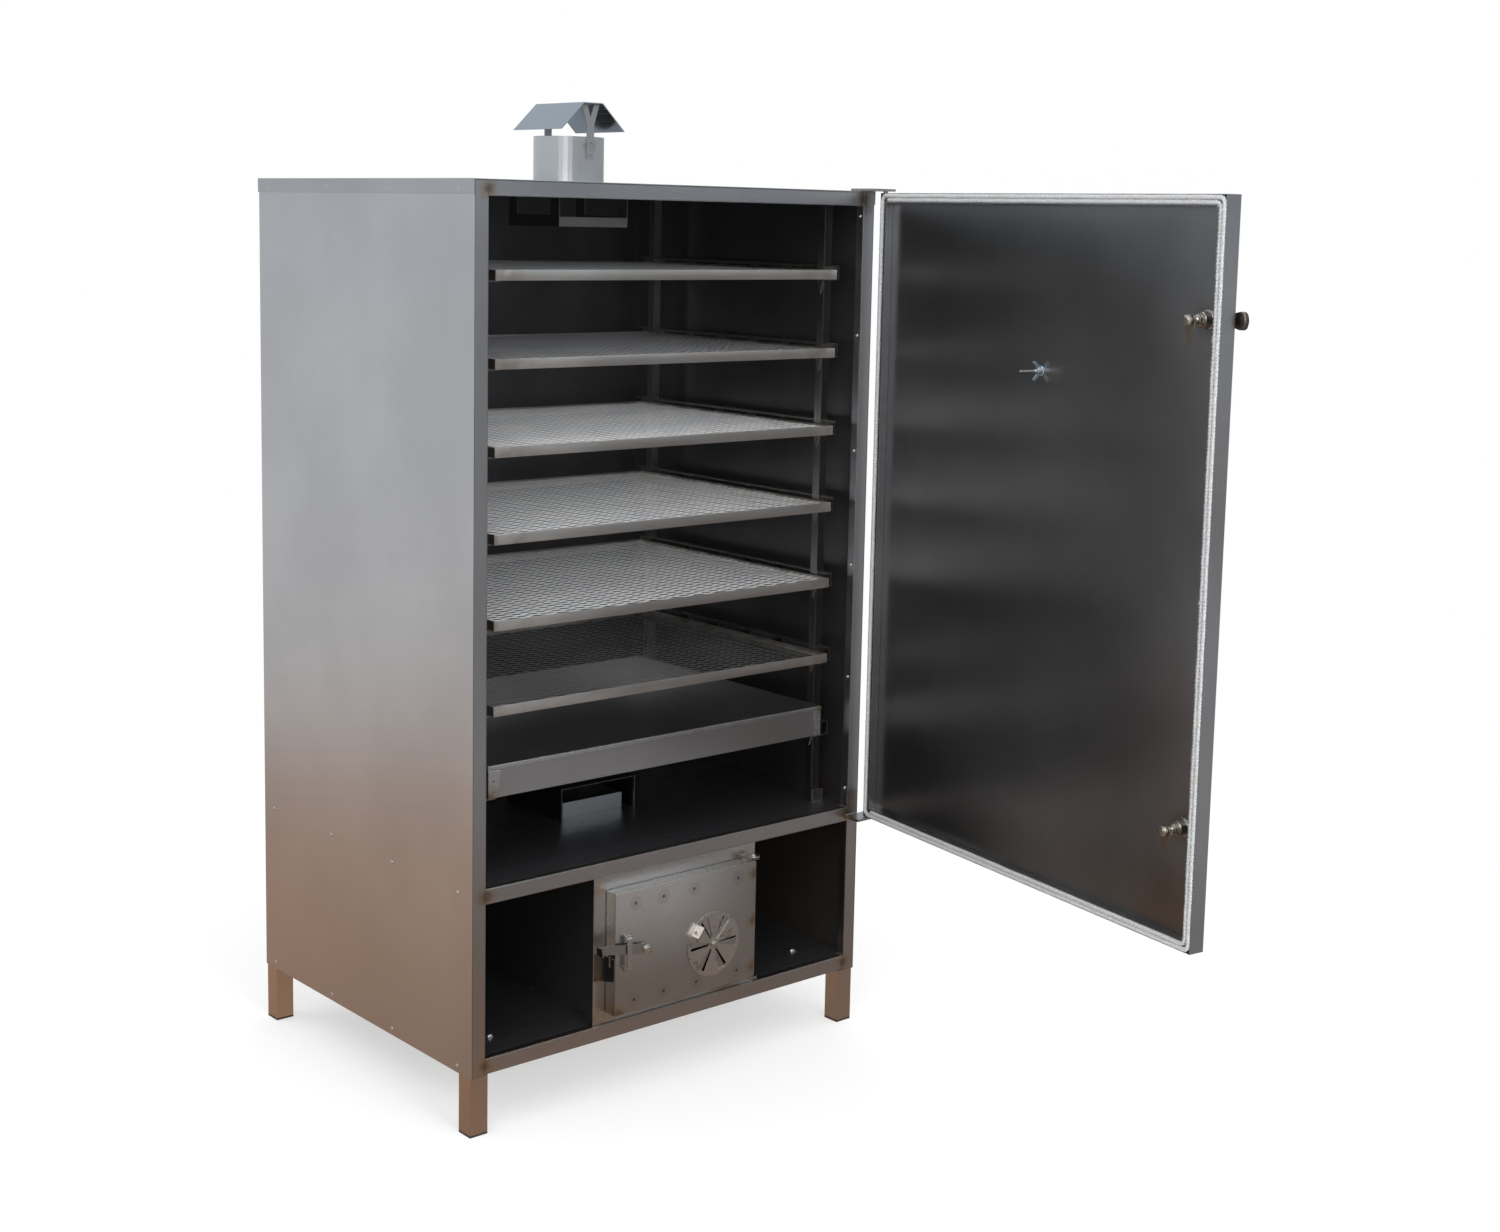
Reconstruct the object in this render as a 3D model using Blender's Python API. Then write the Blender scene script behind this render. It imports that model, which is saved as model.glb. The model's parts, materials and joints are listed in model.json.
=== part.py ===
"""Cabinet smoker: a sheet-steel cabinet on legs with a solid-fuel firebox, racks and one tall door."""

import math

import bpy
import bmesh
from mathutils import Vector

# Cabinet
HALF_W = 0.5  # half width over the side panels
HALF_D = 0.4038  # half depth
TOP = 1.8155  # top of the lid
BASE = 0.118  # lower edge of the side panels
SHEET = 0.0015
GAP = 0.0003
POST_IN = 0.4697  # inner face of the front posts
FRAME_D = 0.020  # depth of the front frame's tubes
SHELF = 0.4875  # top of the shelf between the chamber and the fire compartment
FLOOR = 0.1525
LEG = 0.0395
FOOT = 0.004

# Racks and tray
RACK_TOP = 1.6505
RACK_PITCH = 0.1645
RACKS = 6
RACK_X = 0.4305
RACK_H = 0.020
RACK_Y = (-0.369, 0.291)
TRAY_X = 0.431
TRAY_Z = (0.645, 0.709)
TRAY_Y = (-0.352, 0.291)
GUIDE_Y = (-0.352, 0.318)

# Main door, built shut and then turned open about its hinge
HINGE = Vector((0.509, -0.428, 0.0))
DOOR_OPEN = 81.5
DOOR_X = (-0.5015, 0.4985)
DOOR_Y = (-0.4408, -0.4078)
DOOR_Z = (0.4736, 1.8121)
CHANNEL = 0.020
RECESS = -0.4258
LATCH_X = -0.4545
LATCH_Z = {"upper": 1.597, "lower": 0.693}
PROBE = (-0.0145, 1.477)

# Firebox
FIRE_X = 0.180
FIRE_Y = (-0.3952, 0.100)
FIRE_Z = (0.1531, 0.452)
FIRE_DOOR_Z = (0.176, 0.428)
FIRE_DOOR_Y = (-0.430, -0.3988)
FIRE_HINGE = Vector((0.1855, -0.4225, 0.0))
AIR = Vector((0.0727, -0.430, 0.273))
LEVER = Vector((-0.109, -0.4385, 0.304))
LEVER_TILT = 9.4
COLLAR_Y = (-0.108, 0.048)

# Middle of the whole part's footprint with the door open
CENTRE = Vector((0.00915, -0.5216, 0.0))

for old in list(bpy.data.objects):
    bpy.data.objects.remove(old, do_unlink=True)

parts = bpy.data.collections.new("cabinet_smoker")
cutters = bpy.data.collections.new("cutters")
bpy.context.scene.collection.children.link(parts)
bpy.context.scene.collection.children.link(cutters)
cutters.hide_render = True


def material(name, colour, roughness, metallic):
    made = bpy.data.materials.new(name)
    made.use_nodes = True
    shader = made.node_tree.nodes["Principled BSDF"]
    shader.inputs["Base Color"].default_value = (*colour, 1.0)
    shader.inputs["Roughness"].default_value = roughness
    shader.inputs["Metallic"].default_value = metallic
    made.diffuse_color = (*colour, 1.0)
    return made


STEEL = material("brushed_steel", (0.50, 0.50, 0.51), 0.32, 1.0)
DARK_STEEL = material("inner_sheet", (0.24, 0.24, 0.25), 0.36, 1.0)
BRIGHT = material("bright_fittings", (0.62, 0.61, 0.60), 0.28, 1.0)
MESH = material("rack_steel", (0.56, 0.55, 0.54), 0.40, 1.0)
PLUG = material("foot_plastic", (0.05, 0.04, 0.035), 0.60, 0.0)
ROPE = material("rope_gasket", (0.80, 0.80, 0.79), 0.95, 0.0)
WOOL = material("door_wool", (0.55, 0.50, 0.38), 0.95, 0.0)


def empty(name, at, parent=None):
    made = bpy.data.objects.new(name, None)
    parts.objects.link(made)
    made.parent = parent
    made.location = at
    return made


ROOT = empty("smoker_origin", -CENTRE)
DOOR = empty("main_door_axis", HINGE, ROOT)
DOOR.rotation_euler.z = math.radians(DOOR_OPEN)
FIRE_DOOR = empty("fire_door_axis", FIRE_HINGE, ROOT)
AXIS_AT = {ROOT: Vector((0, 0, 0)), DOOR: HINGE, FIRE_DOOR: FIRE_HINGE}


def brick(low, high):
    """A closed box between two corners."""
    mesh = bmesh.new()
    bmesh.ops.create_cube(mesh, size=1.0)
    low, high = Vector(low), Vector(high)
    for vert in mesh.verts:
        vert.co = Vector((low[i] + (vert.co[i] + 0.5) * (high[i] - low[i]) for i in range(3)))
    return mesh


def rod(start, end, radius, sides=24, tip=None):
    """A closed cylinder or cone from start to end."""
    start, end = Vector(start), Vector(end)
    mesh = bmesh.new()
    bmesh.ops.create_cone(
        mesh,
        cap_ends=True,
        segments=sides,
        radius1=radius,
        radius2=radius if tip is None else tip,
        depth=(end - start).length,
    )
    turn = (end - start).to_track_quat("Z", "Y").to_matrix().to_4x4()
    bmesh.ops.transform(mesh, matrix=turn, verts=mesh.verts)
    bmesh.ops.translate(mesh, vec=(start + end) / 2, verts=mesh.verts)
    return mesh


def slab(outline, low, high, axis="Y"):
    """A closed prism: the outline's points are (x, z) for axis Y, (x, y) for Z and (y, z) for X."""
    place = {
        "X": lambda a, b, c: (c, a, b),
        "Y": lambda a, b, c: (a, c, b),
        "Z": lambda a, b, c: (a, b, c),
    }[axis]
    mesh = bmesh.new()
    rings = [[mesh.verts.new(place(a, b, c)) for a, b in outline] for c in (low, high)]
    mesh.faces.new(rings[0])
    mesh.faces.new(rings[1])
    for i in range(len(outline)):
        j = (i + 1) % len(outline)
        mesh.faces.new((rings[0][i], rings[0][j], rings[1][j], rings[1][i]))
    bmesh.ops.recalc_face_normals(mesh, faces=mesh.faces)
    return mesh


def stored(mesh, name, origin):
    """The bmesh as an object whose own origin is at the given point."""
    bmesh.ops.translate(mesh, vec=-origin, verts=mesh.verts)
    bmesh.ops.recalc_face_normals(mesh, faces=mesh.faces)
    data = bpy.data.meshes.new(name)
    mesh.to_mesh(data)
    mesh.free()
    return bpy.data.objects.new(name, data)


def piece(name, body, look, add=(), cut=(), holder=ROOT, origin=(0, 0, 0)):
    """One sub-part: a body with others joined to it and others cut from it."""
    origin = Vector(origin)
    made = stored(body, name, origin)
    parts.objects.link(made)
    made.parent = holder
    made.location = origin - AXIS_AT[holder]
    made.data.materials.append(look)
    jobs = [("UNION", mesh) for mesh in add] + [("DIFFERENCE", mesh) for mesh in cut]
    for number, (operation, mesh) in enumerate(jobs):
        tool = stored(mesh, f"{name}_tool_{number}", origin)
        cutters.objects.link(tool)
        tool.parent = holder
        tool.location = made.location
        tool.hide_render = True
        tool.display_type = "WIRE"
        change = made.modifiers.new(f"{operation.lower()}_{number}", "BOOLEAN")
        change.operation = operation
        change.solver = "EXACT"
        change.object = tool
    return made


# --- Front frame: two posts and three rails of flat-sided tube, open at the ends ---
FRONT = -HALF_D
BEHIND = FRONT + FRAME_D
WALL = 0.002
for side, sign in (("left", -1), ("right", 1)):
    near, far = sorted((sign * POST_IN, sign * (HALF_W - SHEET - GAP)))
    piece(
        f"front_post_{side}",
        brick((near, FRONT, BASE + 0.001), (far, BEHIND, TOP - 0.0023)),
        STEEL,
        cut=[brick((near + WALL, FRONT + WALL, 0), (far - WALL, BEHIND - WALL, 2))],
    )
for name, low, high in (
    ("bottom", 0.122, 0.1527),
    ("middle", 0.458, SHELF + 0.0002),
    ("top", 1.785, TOP - 0.0023),
):
    reach = POST_IN - GAP
    piece(
        f"front_rail_{name}",
        brick((-reach, FRONT, low), (reach, BEHIND, high)),
        STEEL,
        cut=[brick((-1, FRONT + WALL, low + WALL), (1, BEHIND - WALL, high - WALL))],
    )

# --- Skin: side panels, back, lid with turned-down edges, floor and shelf ---
for side, sign in (("left", -1), ("right", 1)):
    near, far = sorted((sign * (HALF_W - SHEET), sign * HALF_W))
    piece(
        f"side_panel_{side}",
        brick((near, FRONT, BASE), (far, HALF_D, TOP - 0.0023)),
        STEEL,
    )
INNER = HALF_W - SHEET - GAP
piece(
    "back_panel",
    brick((-INNER, HALF_D - SHEET, BASE), (INNER, HALF_D, TOP - 0.0023)),
    STEEL,
)
LIP = HALF_W + 0.0018
piece(
    "lid",
    brick((-LIP, FRONT - 0.0012, TOP - 0.028), (LIP, HALF_D + 0.0018, TOP)),
    STEEL,
    cut=[
        brick((GAP - LIP + 0.0012, -1, 0), (LIP - 0.0012 - GAP, HALF_D + GAP, TOP - 0.002)),
        rod((0, 0, 1.7), (0, 0, 2.0), 0.0738, 48),
    ],
)
piece(
    "compartment_floor",
    brick((-INNER, BEHIND + GAP, BASE + 0.001), (INNER, HALF_D - SHEET - GAP, FLOOR)),
    DARK_STEEL,
    cut=[brick((0.0015 - INNER, -1, 0), (INNER - 0.0015, HALF_D - 0.0035, FLOOR - 0.002))],
)
piece(
    "chamber_shelf",
    brick((-INNER, BEHIND + GAP, SHELF - 0.002), (INNER, HALF_D - SHEET - GAP, SHELF)),
    DARK_STEEL,
    cut=[brick((-0.0785, COLLAR_Y[0] - 0.0005, 0), (0.0785, COLLAR_Y[1] + 0.0005, 1))],
)

# --- Legs of square tube, each closed at the floor by a pushed-in plug ---
for side, sign in (("left", -1), ("right", 1)):
    for end, front in (("front", FRONT + 0.0049), ("rear", HALF_D - 0.0049 - LEG)):
        x_low = -HALF_W + 0.0003 if sign < 0 else HALF_W - 0.0003 - LEG
        inset = 0.002
        low = (x_low, front, FOOT + GAP)
        high = (x_low + LEG, front + LEG, BASE - GAP)
        piece(
            f"leg_{end}_{side}",
            brick(low, high),
            STEEL,
            cut=[
                brick((low[0] + inset, low[1] + inset, -1), (high[0] - inset, high[1] - inset, 1))
            ],
        )
        spare = inset + GAP
        piece(
            f"foot_plug_{end}_{side}",
            brick((low[0], low[1], 0), (high[0], high[1], FOOT)),
            PLUG,
            add=[
                brick(
                    (low[0] + spare, low[1] + spare, 0.001),
                    (high[0] - spare, high[1] - spare, 0.022),
                )
            ],
        )

# --- Chimney: pipe through the lid, folded cap on two forked straps, baffle box under the lid ---
piece(
    "chimney_pipe",
    rod((0, 0, 1.800), (0, 0, 1.914), 0.0735, 48),
    BRIGHT,
    cut=[rod((0, 0, 1.7), (0, 0, 2.0), 0.0715, 48)],
)
EAVE, RIDGE, EAVE_Z, RIDGE_Z = 0.082, 0.024, 1.9265, 1.983
piece(
    "chimney_cap",
    slab(
        [
            (-EAVE, EAVE_Z),
            (-RIDGE, RIDGE_Z),
            (RIDGE, RIDGE_Z),
            (EAVE, EAVE_Z),
            (EAVE - 0.0028, EAVE_Z),
            (RIDGE - 0.0008, RIDGE_Z - 0.002),
            (0.0008 - RIDGE, RIDGE_Z - 0.002),
            (0.0028 - EAVE, EAVE_Z),
        ],
        -0.085,
        0.085,
    ),
    STEEL,
)
FORK = [
    (-0.009, 1.868),
    (0.009, 1.868),
    (0.009, 1.938),
    (0.0225, RIDGE_Z - 0.0023),
    (0.0095, RIDGE_Z - 0.0023),
    (0.0, 1.952),
    (-0.0095, RIDGE_Z - 0.0023),
    (-0.0225, RIDGE_Z - 0.0023),
    (-0.009, 1.938),
]
for name, y in (("front", -0.0758), ("rear", 0.0738)):
    piece(f"cap_strap_{name}", slab(FORK, y, y + 0.002), BRIGHT)
piece(
    "flue_baffle",
    brick((-0.0875, -0.090, 1.7295), (0.0875, 0.090, TOP - 0.0024)),
    DARK_STEEL,
    cut=[
        brick((-0.086, -0.0885, 1.731), (0.086, 0.0885, 2.0)),
        brick((-0.086, -0.2, 1.7495), (0.086, 0.2, 2.0)),
        brick((-0.2, -0.059, 1.753), (0.2, 0.059, 1.800)),
    ],
)

# --- Smoke inlet: square collar from the firebox up through the shelf, hood over it ---
piece(
    "smoke_collar",
    brick((-0.078, COLLAR_Y[0], FIRE_Z[1] + GAP), (0.078, COLLAR_Y[1], 0.5217)),
    STEEL,
    cut=[brick((-0.0765, COLLAR_Y[0] + 0.0015, 0), (0.0765, COLLAR_Y[1] - 0.0015, 1))],
)
piece(
    "smoke_deflector",
    brick((-0.097, -0.130, SHELF + GAP), (0.097, 0.070, 0.5595)),
    BRIGHT,
    cut=[brick((-0.0955, -1, 0), (0.0955, 1, 0.558))],
)

# --- Rack ladders: two uprights a side with seven slotted channels welded on ---
LEVELS = [RACK_TOP - RACK_PITCH * i - RACK_H for i in range(RACKS)] + [TRAY_Z[0]]


def mirrored(sign, low, high):
    """A box given for the right-hand side, on the side that sign names."""
    x = sorted((sign * low[0], sign * high[0]))
    return brick((x[0], *low[1:]), (x[1], *high[1:]))


for side, sign in (("left", -1), ("right", 1)):
    foot = SHELF + GAP
    joined = [mirrored(sign, (0.437, 0.260, foot), (0.457, 0.280, 1.800))]
    slots = []
    for level in LEVELS:
        low = level - GAP - 0.002
        joined.append(mirrored(sign, (0.412, GUIDE_Y[0], low), (0.4535, GUIDE_Y[1], low + 0.002)))
        joined.append(mirrored(sign, (0.4515, GUIDE_Y[0], low), (0.4535, GUIDE_Y[1], low + 0.031)))
        joined.append(
            mirrored(sign, (0.437, GUIDE_Y[0], low + 0.029), (0.4535, GUIDE_Y[1], low + 0.031))
        )
        for start in (-0.285, -0.175, -0.065, 0.045, 0.155):
            slots.append(
                mirrored(sign, (0.445, start, low + 0.011), (0.4555, start + 0.085, low + 0.025))
            )
    piece(
        f"rack_ladder_{side}",
        mirrored(sign, (0.437, -0.322, foot), (0.457, -0.302, 1.800)),
        DARK_STEEL,
        add=joined,
        cut=slots,
    )

# --- Six lift-in racks: a flat-bar frame with a mesh panel, and the drip tray below them ---
for number in range(RACKS):
    top = RACK_TOP - RACK_PITCH * number
    middle = (RACK_Y[0] + RACK_Y[1]) / 2
    piece(
        f"rack_{number + 1}",
        brick((-RACK_X, RACK_Y[0], top - RACK_H), (RACK_X, RACK_Y[1], top)),
        MESH,
        cut=[
            brick(
                (0.015 - RACK_X, RACK_Y[0] + 0.015, 0),
                (RACK_X - 0.015, RACK_Y[1] - 0.015, top - 0.0035),
            ),
            brick(
                (0.015 - RACK_X, RACK_Y[0] + 0.015, top - 0.001),
                (RACK_X - 0.015, RACK_Y[1] - 0.015, top + 1),
            ),
        ],
        origin=(0, middle, top),
    )
piece(
    "drip_tray",
    brick((-TRAY_X, TRAY_Y[0], TRAY_Z[0]), (TRAY_X, TRAY_Y[1], TRAY_Z[1])),
    STEEL,
    cut=[
        brick(
            (SHEET - TRAY_X, TRAY_Y[0] + SHEET, TRAY_Z[0] + SHEET),
            (TRAY_X - SHEET, TRAY_Y[1] - SHEET, 1),
        )
    ],
    origin=(0, sum(TRAY_Y) / 2, TRAY_Z[0]),
)

# --- Firebox: open-fronted box, front plate with hinge lugs, keeper for the latch ---
piece(
    "firebox_body",
    brick((-FIRE_X, FIRE_Y[0], FIRE_Z[0]), (FIRE_X, FIRE_Y[1], FIRE_Z[1])),
    DARK_STEEL,
    cut=[
        brick((0.003 - FIRE_X, -1, FIRE_Z[0] + 0.003), (FIRE_X - 0.003, 0.097, 0.449)),
        brick((-0.0765, COLLAR_Y[0] + 0.0015, 0.3), (0.0765, COLLAR_Y[1] - 0.0015, 1)),
    ],
)
hx, hy = FIRE_HINGE.x, FIRE_HINGE.y
LUG_Z = ((0.170, 0.1742), (0.4298, 0.434))
piece(
    "firebox_front",
    brick((-0.210, -0.3975, FIRE_Z[0]), (0.210, -0.3955, 0.456)),
    STEEL,
    add=[brick((hx - 0.006, hy - 0.006, low), (hx + 0.010, -0.3965, high)) for low, high in LUG_Z],
    cut=[
        brick((-0.150, -1, 0.200), (0.150, 0, 0.405)),
        rod((hx, hy, 0.16), (hx, hy, 0.45), 0.00315),
    ],
)
piece(
    "firebox_hinge_pin",
    rod((hx, hy, 0.164), (hx, hy, 0.438), 0.003),
    BRIGHT,
    add=[rod((hx, hy, 0.4345), (hx, hy, 0.440), 0.013)],
)
KEEPER_SLOT = (-0.4425, -0.4345)
piece(
    "latch_keeper",
    slab(
        [
            (-0.3978, 0.245),
            (-0.452, 0.258),
            (-0.452, 0.303),
            (KEEPER_SLOT[0], 0.303),
            (KEEPER_SLOT[0], 0.284),
            (KEEPER_SLOT[1], 0.284),
            (KEEPER_SLOT[1], 0.303),
            (-0.3978, 0.303),
        ],
        -0.199,
        -0.196,
        "X",
    ),
    BRIGHT,
    add=[brick((-0.208, -0.3998, 0.245), (-0.187, -0.3978, 0.303))],
)

# --- Firebox door: shallow pan on a hinge tube, with a turning air disc and a drop latch ---


def sector(turn, spread, inner, outer):
    """A wedge-shaped outline about the air disc's centre, in x and z."""
    points = []
    for angle in (turn - spread, turn, turn + spread):
        a = math.radians(angle)
        points.append((AIR.x + outer * math.cos(a), AIR.z + outer * math.sin(a)))
    for angle in (turn + spread * 1.3, turn - spread * 1.3):
        a = math.radians(angle)
        points.append((AIR.x + inner * math.cos(a), AIR.z + inner * math.sin(a)))
    return points


DOOR_VENTS = [10.5 + 60 * i for i in range(6)]
DISC_VENTS = [-4.5 + 60 * i for i in range(6)]
fy0, fy1 = FIRE_DOOR_Y
piece(
    "firebox_door",
    brick((-FIRE_X, fy0, FIRE_DOOR_Z[0]), (FIRE_X, fy1, FIRE_DOOR_Z[1])),
    STEEL,
    add=[rod((hx, hy, FIRE_DOOR_Z[0] + 0.002), (hx, hy, FIRE_DOOR_Z[1] - 0.002), 0.0058)],
    cut=[
        brick(
            (SHEET - FIRE_X, fy0 + SHEET, FIRE_DOOR_Z[0] + SHEET),
            (FIRE_X - SHEET, 0, FIRE_DOOR_Z[1] - SHEET),
        ),
        rod((hx, hy, 0.1), (hx, hy, 0.5), 0.00305),
        rod((LEVER.x, -0.5, LEVER.z), (LEVER.x, -0.4, LEVER.z), 0.0043),
        rod((AIR.x, -0.5, AIR.z), (AIR.x, -0.4, AIR.z), 0.0043),
    ]
    + [slab(sector(angle, 10, 0.013, 0.060), -0.44, -0.42) for angle in DOOR_VENTS],
    holder=FIRE_DOOR,
    origin=FIRE_HINGE,
)
tab = math.radians(142)
TAB = [(0.0562, -0.013), (0.0577, -0.013), (0.0577, 0.013), (0.0562, 0.013)]
tab_outline = []
for out, across in TAB:
    x = AIR.x + out * math.cos(tab) - across * math.sin(tab)
    tab_outline.append((x, AIR.z + out * math.sin(tab) + across * math.cos(tab)))
piece(
    "air_disc",
    rod((AIR.x, fy0 - GAP - SHEET, AIR.z), (AIR.x, fy0 - GAP, AIR.z), 0.068, 48),
    BRIGHT,
    add=[slab(tab_outline, -0.446, fy0 - GAP - 0.0003)],
    cut=[slab(sector(angle, 10, 0.013, 0.060), -0.44, -0.42) for angle in DISC_VENTS]
    + [rod((AIR.x, -0.5, AIR.z), (AIR.x, -0.4, AIR.z), 0.00406)],
    holder=FIRE_DOOR,
    origin=(AIR.x, fy0, AIR.z),
)
piece(
    "air_disc_bolt",
    rod((AIR.x, -0.4370, AIR.z), (AIR.x, -0.422, AIR.z), 0.004),
    BRIGHT,
    add=[
        rod((AIR.x, -0.4370, AIR.z), (AIR.x, -0.4321, AIR.z), 0.0075, 6),
        rod((AIR.x, -0.4281, AIR.z), (AIR.x, -0.4235, AIR.z), 0.0075, 6),
    ],
    holder=FIRE_DOOR,
)
tilt = math.radians(LEVER_TILT)


def on_lever(points):
    """Points given along the latch lever, from its pivot outward and up, in x and z."""
    turned = []
    for along, up in points:
        x = LEVER.x - along * math.cos(tilt) - up * math.sin(tilt)
        z = LEVER.z + along * math.sin(tilt) - up * -math.cos(tilt)
        turned.append((x, z))
    return turned


piece(
    "firebox_latch_lever",
    slab(
        on_lever([(-0.012, -0.007), (-0.012, 0.007), (0.0, 0.011), (0.124, 0.009), (0.124, -0.009), (0.0, -0.011)]),
        LEVER.y - 0.0015,
        LEVER.y + 0.0015,
    ),
    BRIGHT,
    add=[
        slab(
            on_lever([(0.1215, 0.009), (0.124, 0.009), (0.124, -0.009), (0.1215, -0.009)]),
            LEVER.y - 0.017,
            LEVER.y,
        )
    ],
    cut=[rod((LEVER.x, -0.5, LEVER.z), (LEVER.x, -0.4, LEVER.z), 0.00406)],
    holder=FIRE_DOOR,
    origin=LEVER,
)
piece(
    "latch_pivot_bolt",
    rod((LEVER.x, -0.447, LEVER.z), (LEVER.x, -0.422, LEVER.z), 0.004),
    BRIGHT,
    add=[
        rod((LEVER.x, -0.447, LEVER.z), (LEVER.x, -0.4403, LEVER.z), 0.0085, 24, 0.010),
        rod((LEVER.x, -0.4367, LEVER.z), (LEVER.x, -0.4303, LEVER.z), 0.010),
        rod((LEVER.x, -0.4281, LEVER.z), (LEVER.x, -0.4235, LEVER.z), 0.0075, 6),
    ],
    holder=FIRE_DOOR,
)
piece(
    "lever_guide_loop",
    brick((-0.160, -0.444, 0.266), (-0.148, fy0 - GAP, 0.340)),
    BRIGHT,
    cut=[brick((-0.17, -0.4415, 0.270), (-0.14, -0.4, 0.336))],
    holder=FIRE_DOOR,
)

# --- Main door hinges: a plate and pin welded to the frame at the foot and on the lid's corner ---
for name, low, pin in (
    ("bottom", (0.462, -0.4465, 0.4655), (0.467, 0.513)),
    ("top", (0.462, -0.4465, TOP + GAP), (TOP + 0.004, 1.772)),
):
    back = FRONT - GAP if name == "bottom" else -0.372
    piece(
        f"door_hinge_{name}",
        brick(low, (0.520, back, low[2] + 0.005)),
        BRIGHT,
        add=[rod((HINGE.x, HINGE.y, pin[0]), (HINGE.x, HINGE.y, pin[1]), 0.005)],
    )

# --- Main door: outer pan with a rope channel round its rim, inner panel, wool between them ---
x0, x1 = DOOR_X
y0, y1 = DOOR_Y
z0, z1 = DOOR_Z


def door_box(inset, low, high, x_more=0.0):
    """A box inside the door's outline by the given inset, between two depths."""
    return brick((x0 + inset, low, z0 + inset), (x1 - inset, high, z1 - inset))


bushes = []
for low, high in ((z0, z0 + 0.044), (z1 - 0.044, z1)):
    bushes.append(rod((HINGE.x, HINGE.y, low), (HINGE.x, HINGE.y, high), 0.009))
    bushes.append(
        brick((x1 - 0.001, HINGE.y - 0.002, low), (HINGE.x - 0.006, HINGE.y + 0.002, high))
    )


def through(radius, low=-0.5, high=-0.4):
    """Cutters for the two latch spindles and the thermometer stem."""
    holes = [rod((LATCH_X, low, z), (LATCH_X, high, z), radius) for z in LATCH_Z.values()]
    return holes + [rod((PROBE[0], low, PROBE[1]), (PROBE[0], high, PROBE[1]), 0.0045)]


IN = CHANNEL - SHEET
groove = [
    brick((x0 + SHEET, RECESS + SHEET, z0 + SHEET), (x0 + IN, 0, z1 - SHEET)),
    brick((x1 - IN, RECESS + SHEET, z0 + SHEET), (x1 - SHEET, 0, z1 - SHEET)),
    brick((x0 + SHEET, RECESS + SHEET, z0 + SHEET), (x1 - SHEET, 0, z0 + IN)),
    brick((x0 + SHEET, RECESS + SHEET, z1 - IN), (x1 - SHEET, 0, z1 - SHEET)),
]
piece(
    "door_outer",
    door_box(0, y0, y1),
    STEEL,
    add=bushes,
    cut=[
        door_box(CHANNEL, RECESS - 0.004, 0),
        door_box(SHEET, y0 + SHEET, RECESS),
        *groove,
        rod((HINGE.x, HINGE.y, 0.4), (HINGE.x, HINGE.y, 1.9), 0.00505),
        *through(0.0068, high=-0.436),
    ],
    holder=DOOR,
    origin=HINGE,
)
PANEL = RECESS - GAP
piece(
    "door_inner_panel",
    door_box(SHEET + GAP, PANEL - SHEET, PANEL),
    DARK_STEEL,
    cut=through(0.0068),
    holder=DOOR,
)
piece(
    "door_wool",
    door_box(SHEET + GAP, y0 + SHEET + GAP, PANEL - SHEET - GAP),
    WOOL,
    cut=through(0.0085),
    holder=DOOR,
)
piece(
    "door_gasket",
    door_box(SHEET + GAP, RECESS + SHEET + GAP, FRONT - 0.0005),
    ROPE,
    cut=[door_box(IN - GAP, -1, 0)],
    holder=DOOR,
)

# --- Two turning latches: sleeve, spindle with its outer lever and nuts, tapered tongue ---
for place, z in LATCH_Z.items():
    axis = (LATCH_X, 0, z)
    piece(
        f"latch_sleeve_{place}",
        rod((LATCH_X, PANEL + GAP, z), (LATCH_X, -0.4048, z), 0.018, 32),
        BRIGHT,
        cut=[rod((LATCH_X, -0.5, z), (LATCH_X, -0.3, z), 0.00606)],
        holder=DOOR,
    )
    lever = [(0.012, -0.010), (0.050, -0.016), (0.060, -0.013), (0.064, 0.0), (0.060, 0.013)]
    lever += [(0.050, 0.016), (0.012, 0.010), (0.0, 0.013), (-0.010, 0.009), (-0.013, 0.0)]
    lever += [(-0.010, -0.009), (0.0, -0.013)]
    if place == "upper":
        outline = [(LATCH_X - a, z + b) for a, b in lever]
    else:
        outline = [(LATCH_X + b, z - a) for a, b in lever]
    piece(
        f"latch_handle_{place}",
        rod((LATCH_X, -0.4600, z), (LATCH_X, -0.3698, z), 0.006),
        STEEL,
        add=[
            slab(outline, -0.4590, -0.4480),
            rod((LATCH_X, -0.4500, z), (LATCH_X, y0 - GAP, z), 0.013),
            rod((LATCH_X, -0.4045, z), (LATCH_X, -0.3960, z), 0.0095, 6),
            rod((LATCH_X, -0.3793, z), (LATCH_X, -0.3723, z), 0.0095, 6),
        ],
        holder=DOOR,
        origin=axis,
    )
    tongue = [(-0.010, 0.008), (0.010, 0.008), (0.0125, 0.0), (0.011, -0.012), (0.003, -0.040)]
    tongue += [(-0.003, -0.040), (-0.011, -0.012), (-0.0125, 0.0)]
    piece(
        f"latch_tongue_{place}",
        slab([(LATCH_X + a, z + b) for a, b in tongue], -0.3829, -0.3799),
        BRIGHT,
        cut=[rod((LATCH_X, -0.5, z), (LATCH_X, -0.3, z), 0.0063)],
        holder=DOOR,
        origin=axis,
    )

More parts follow.
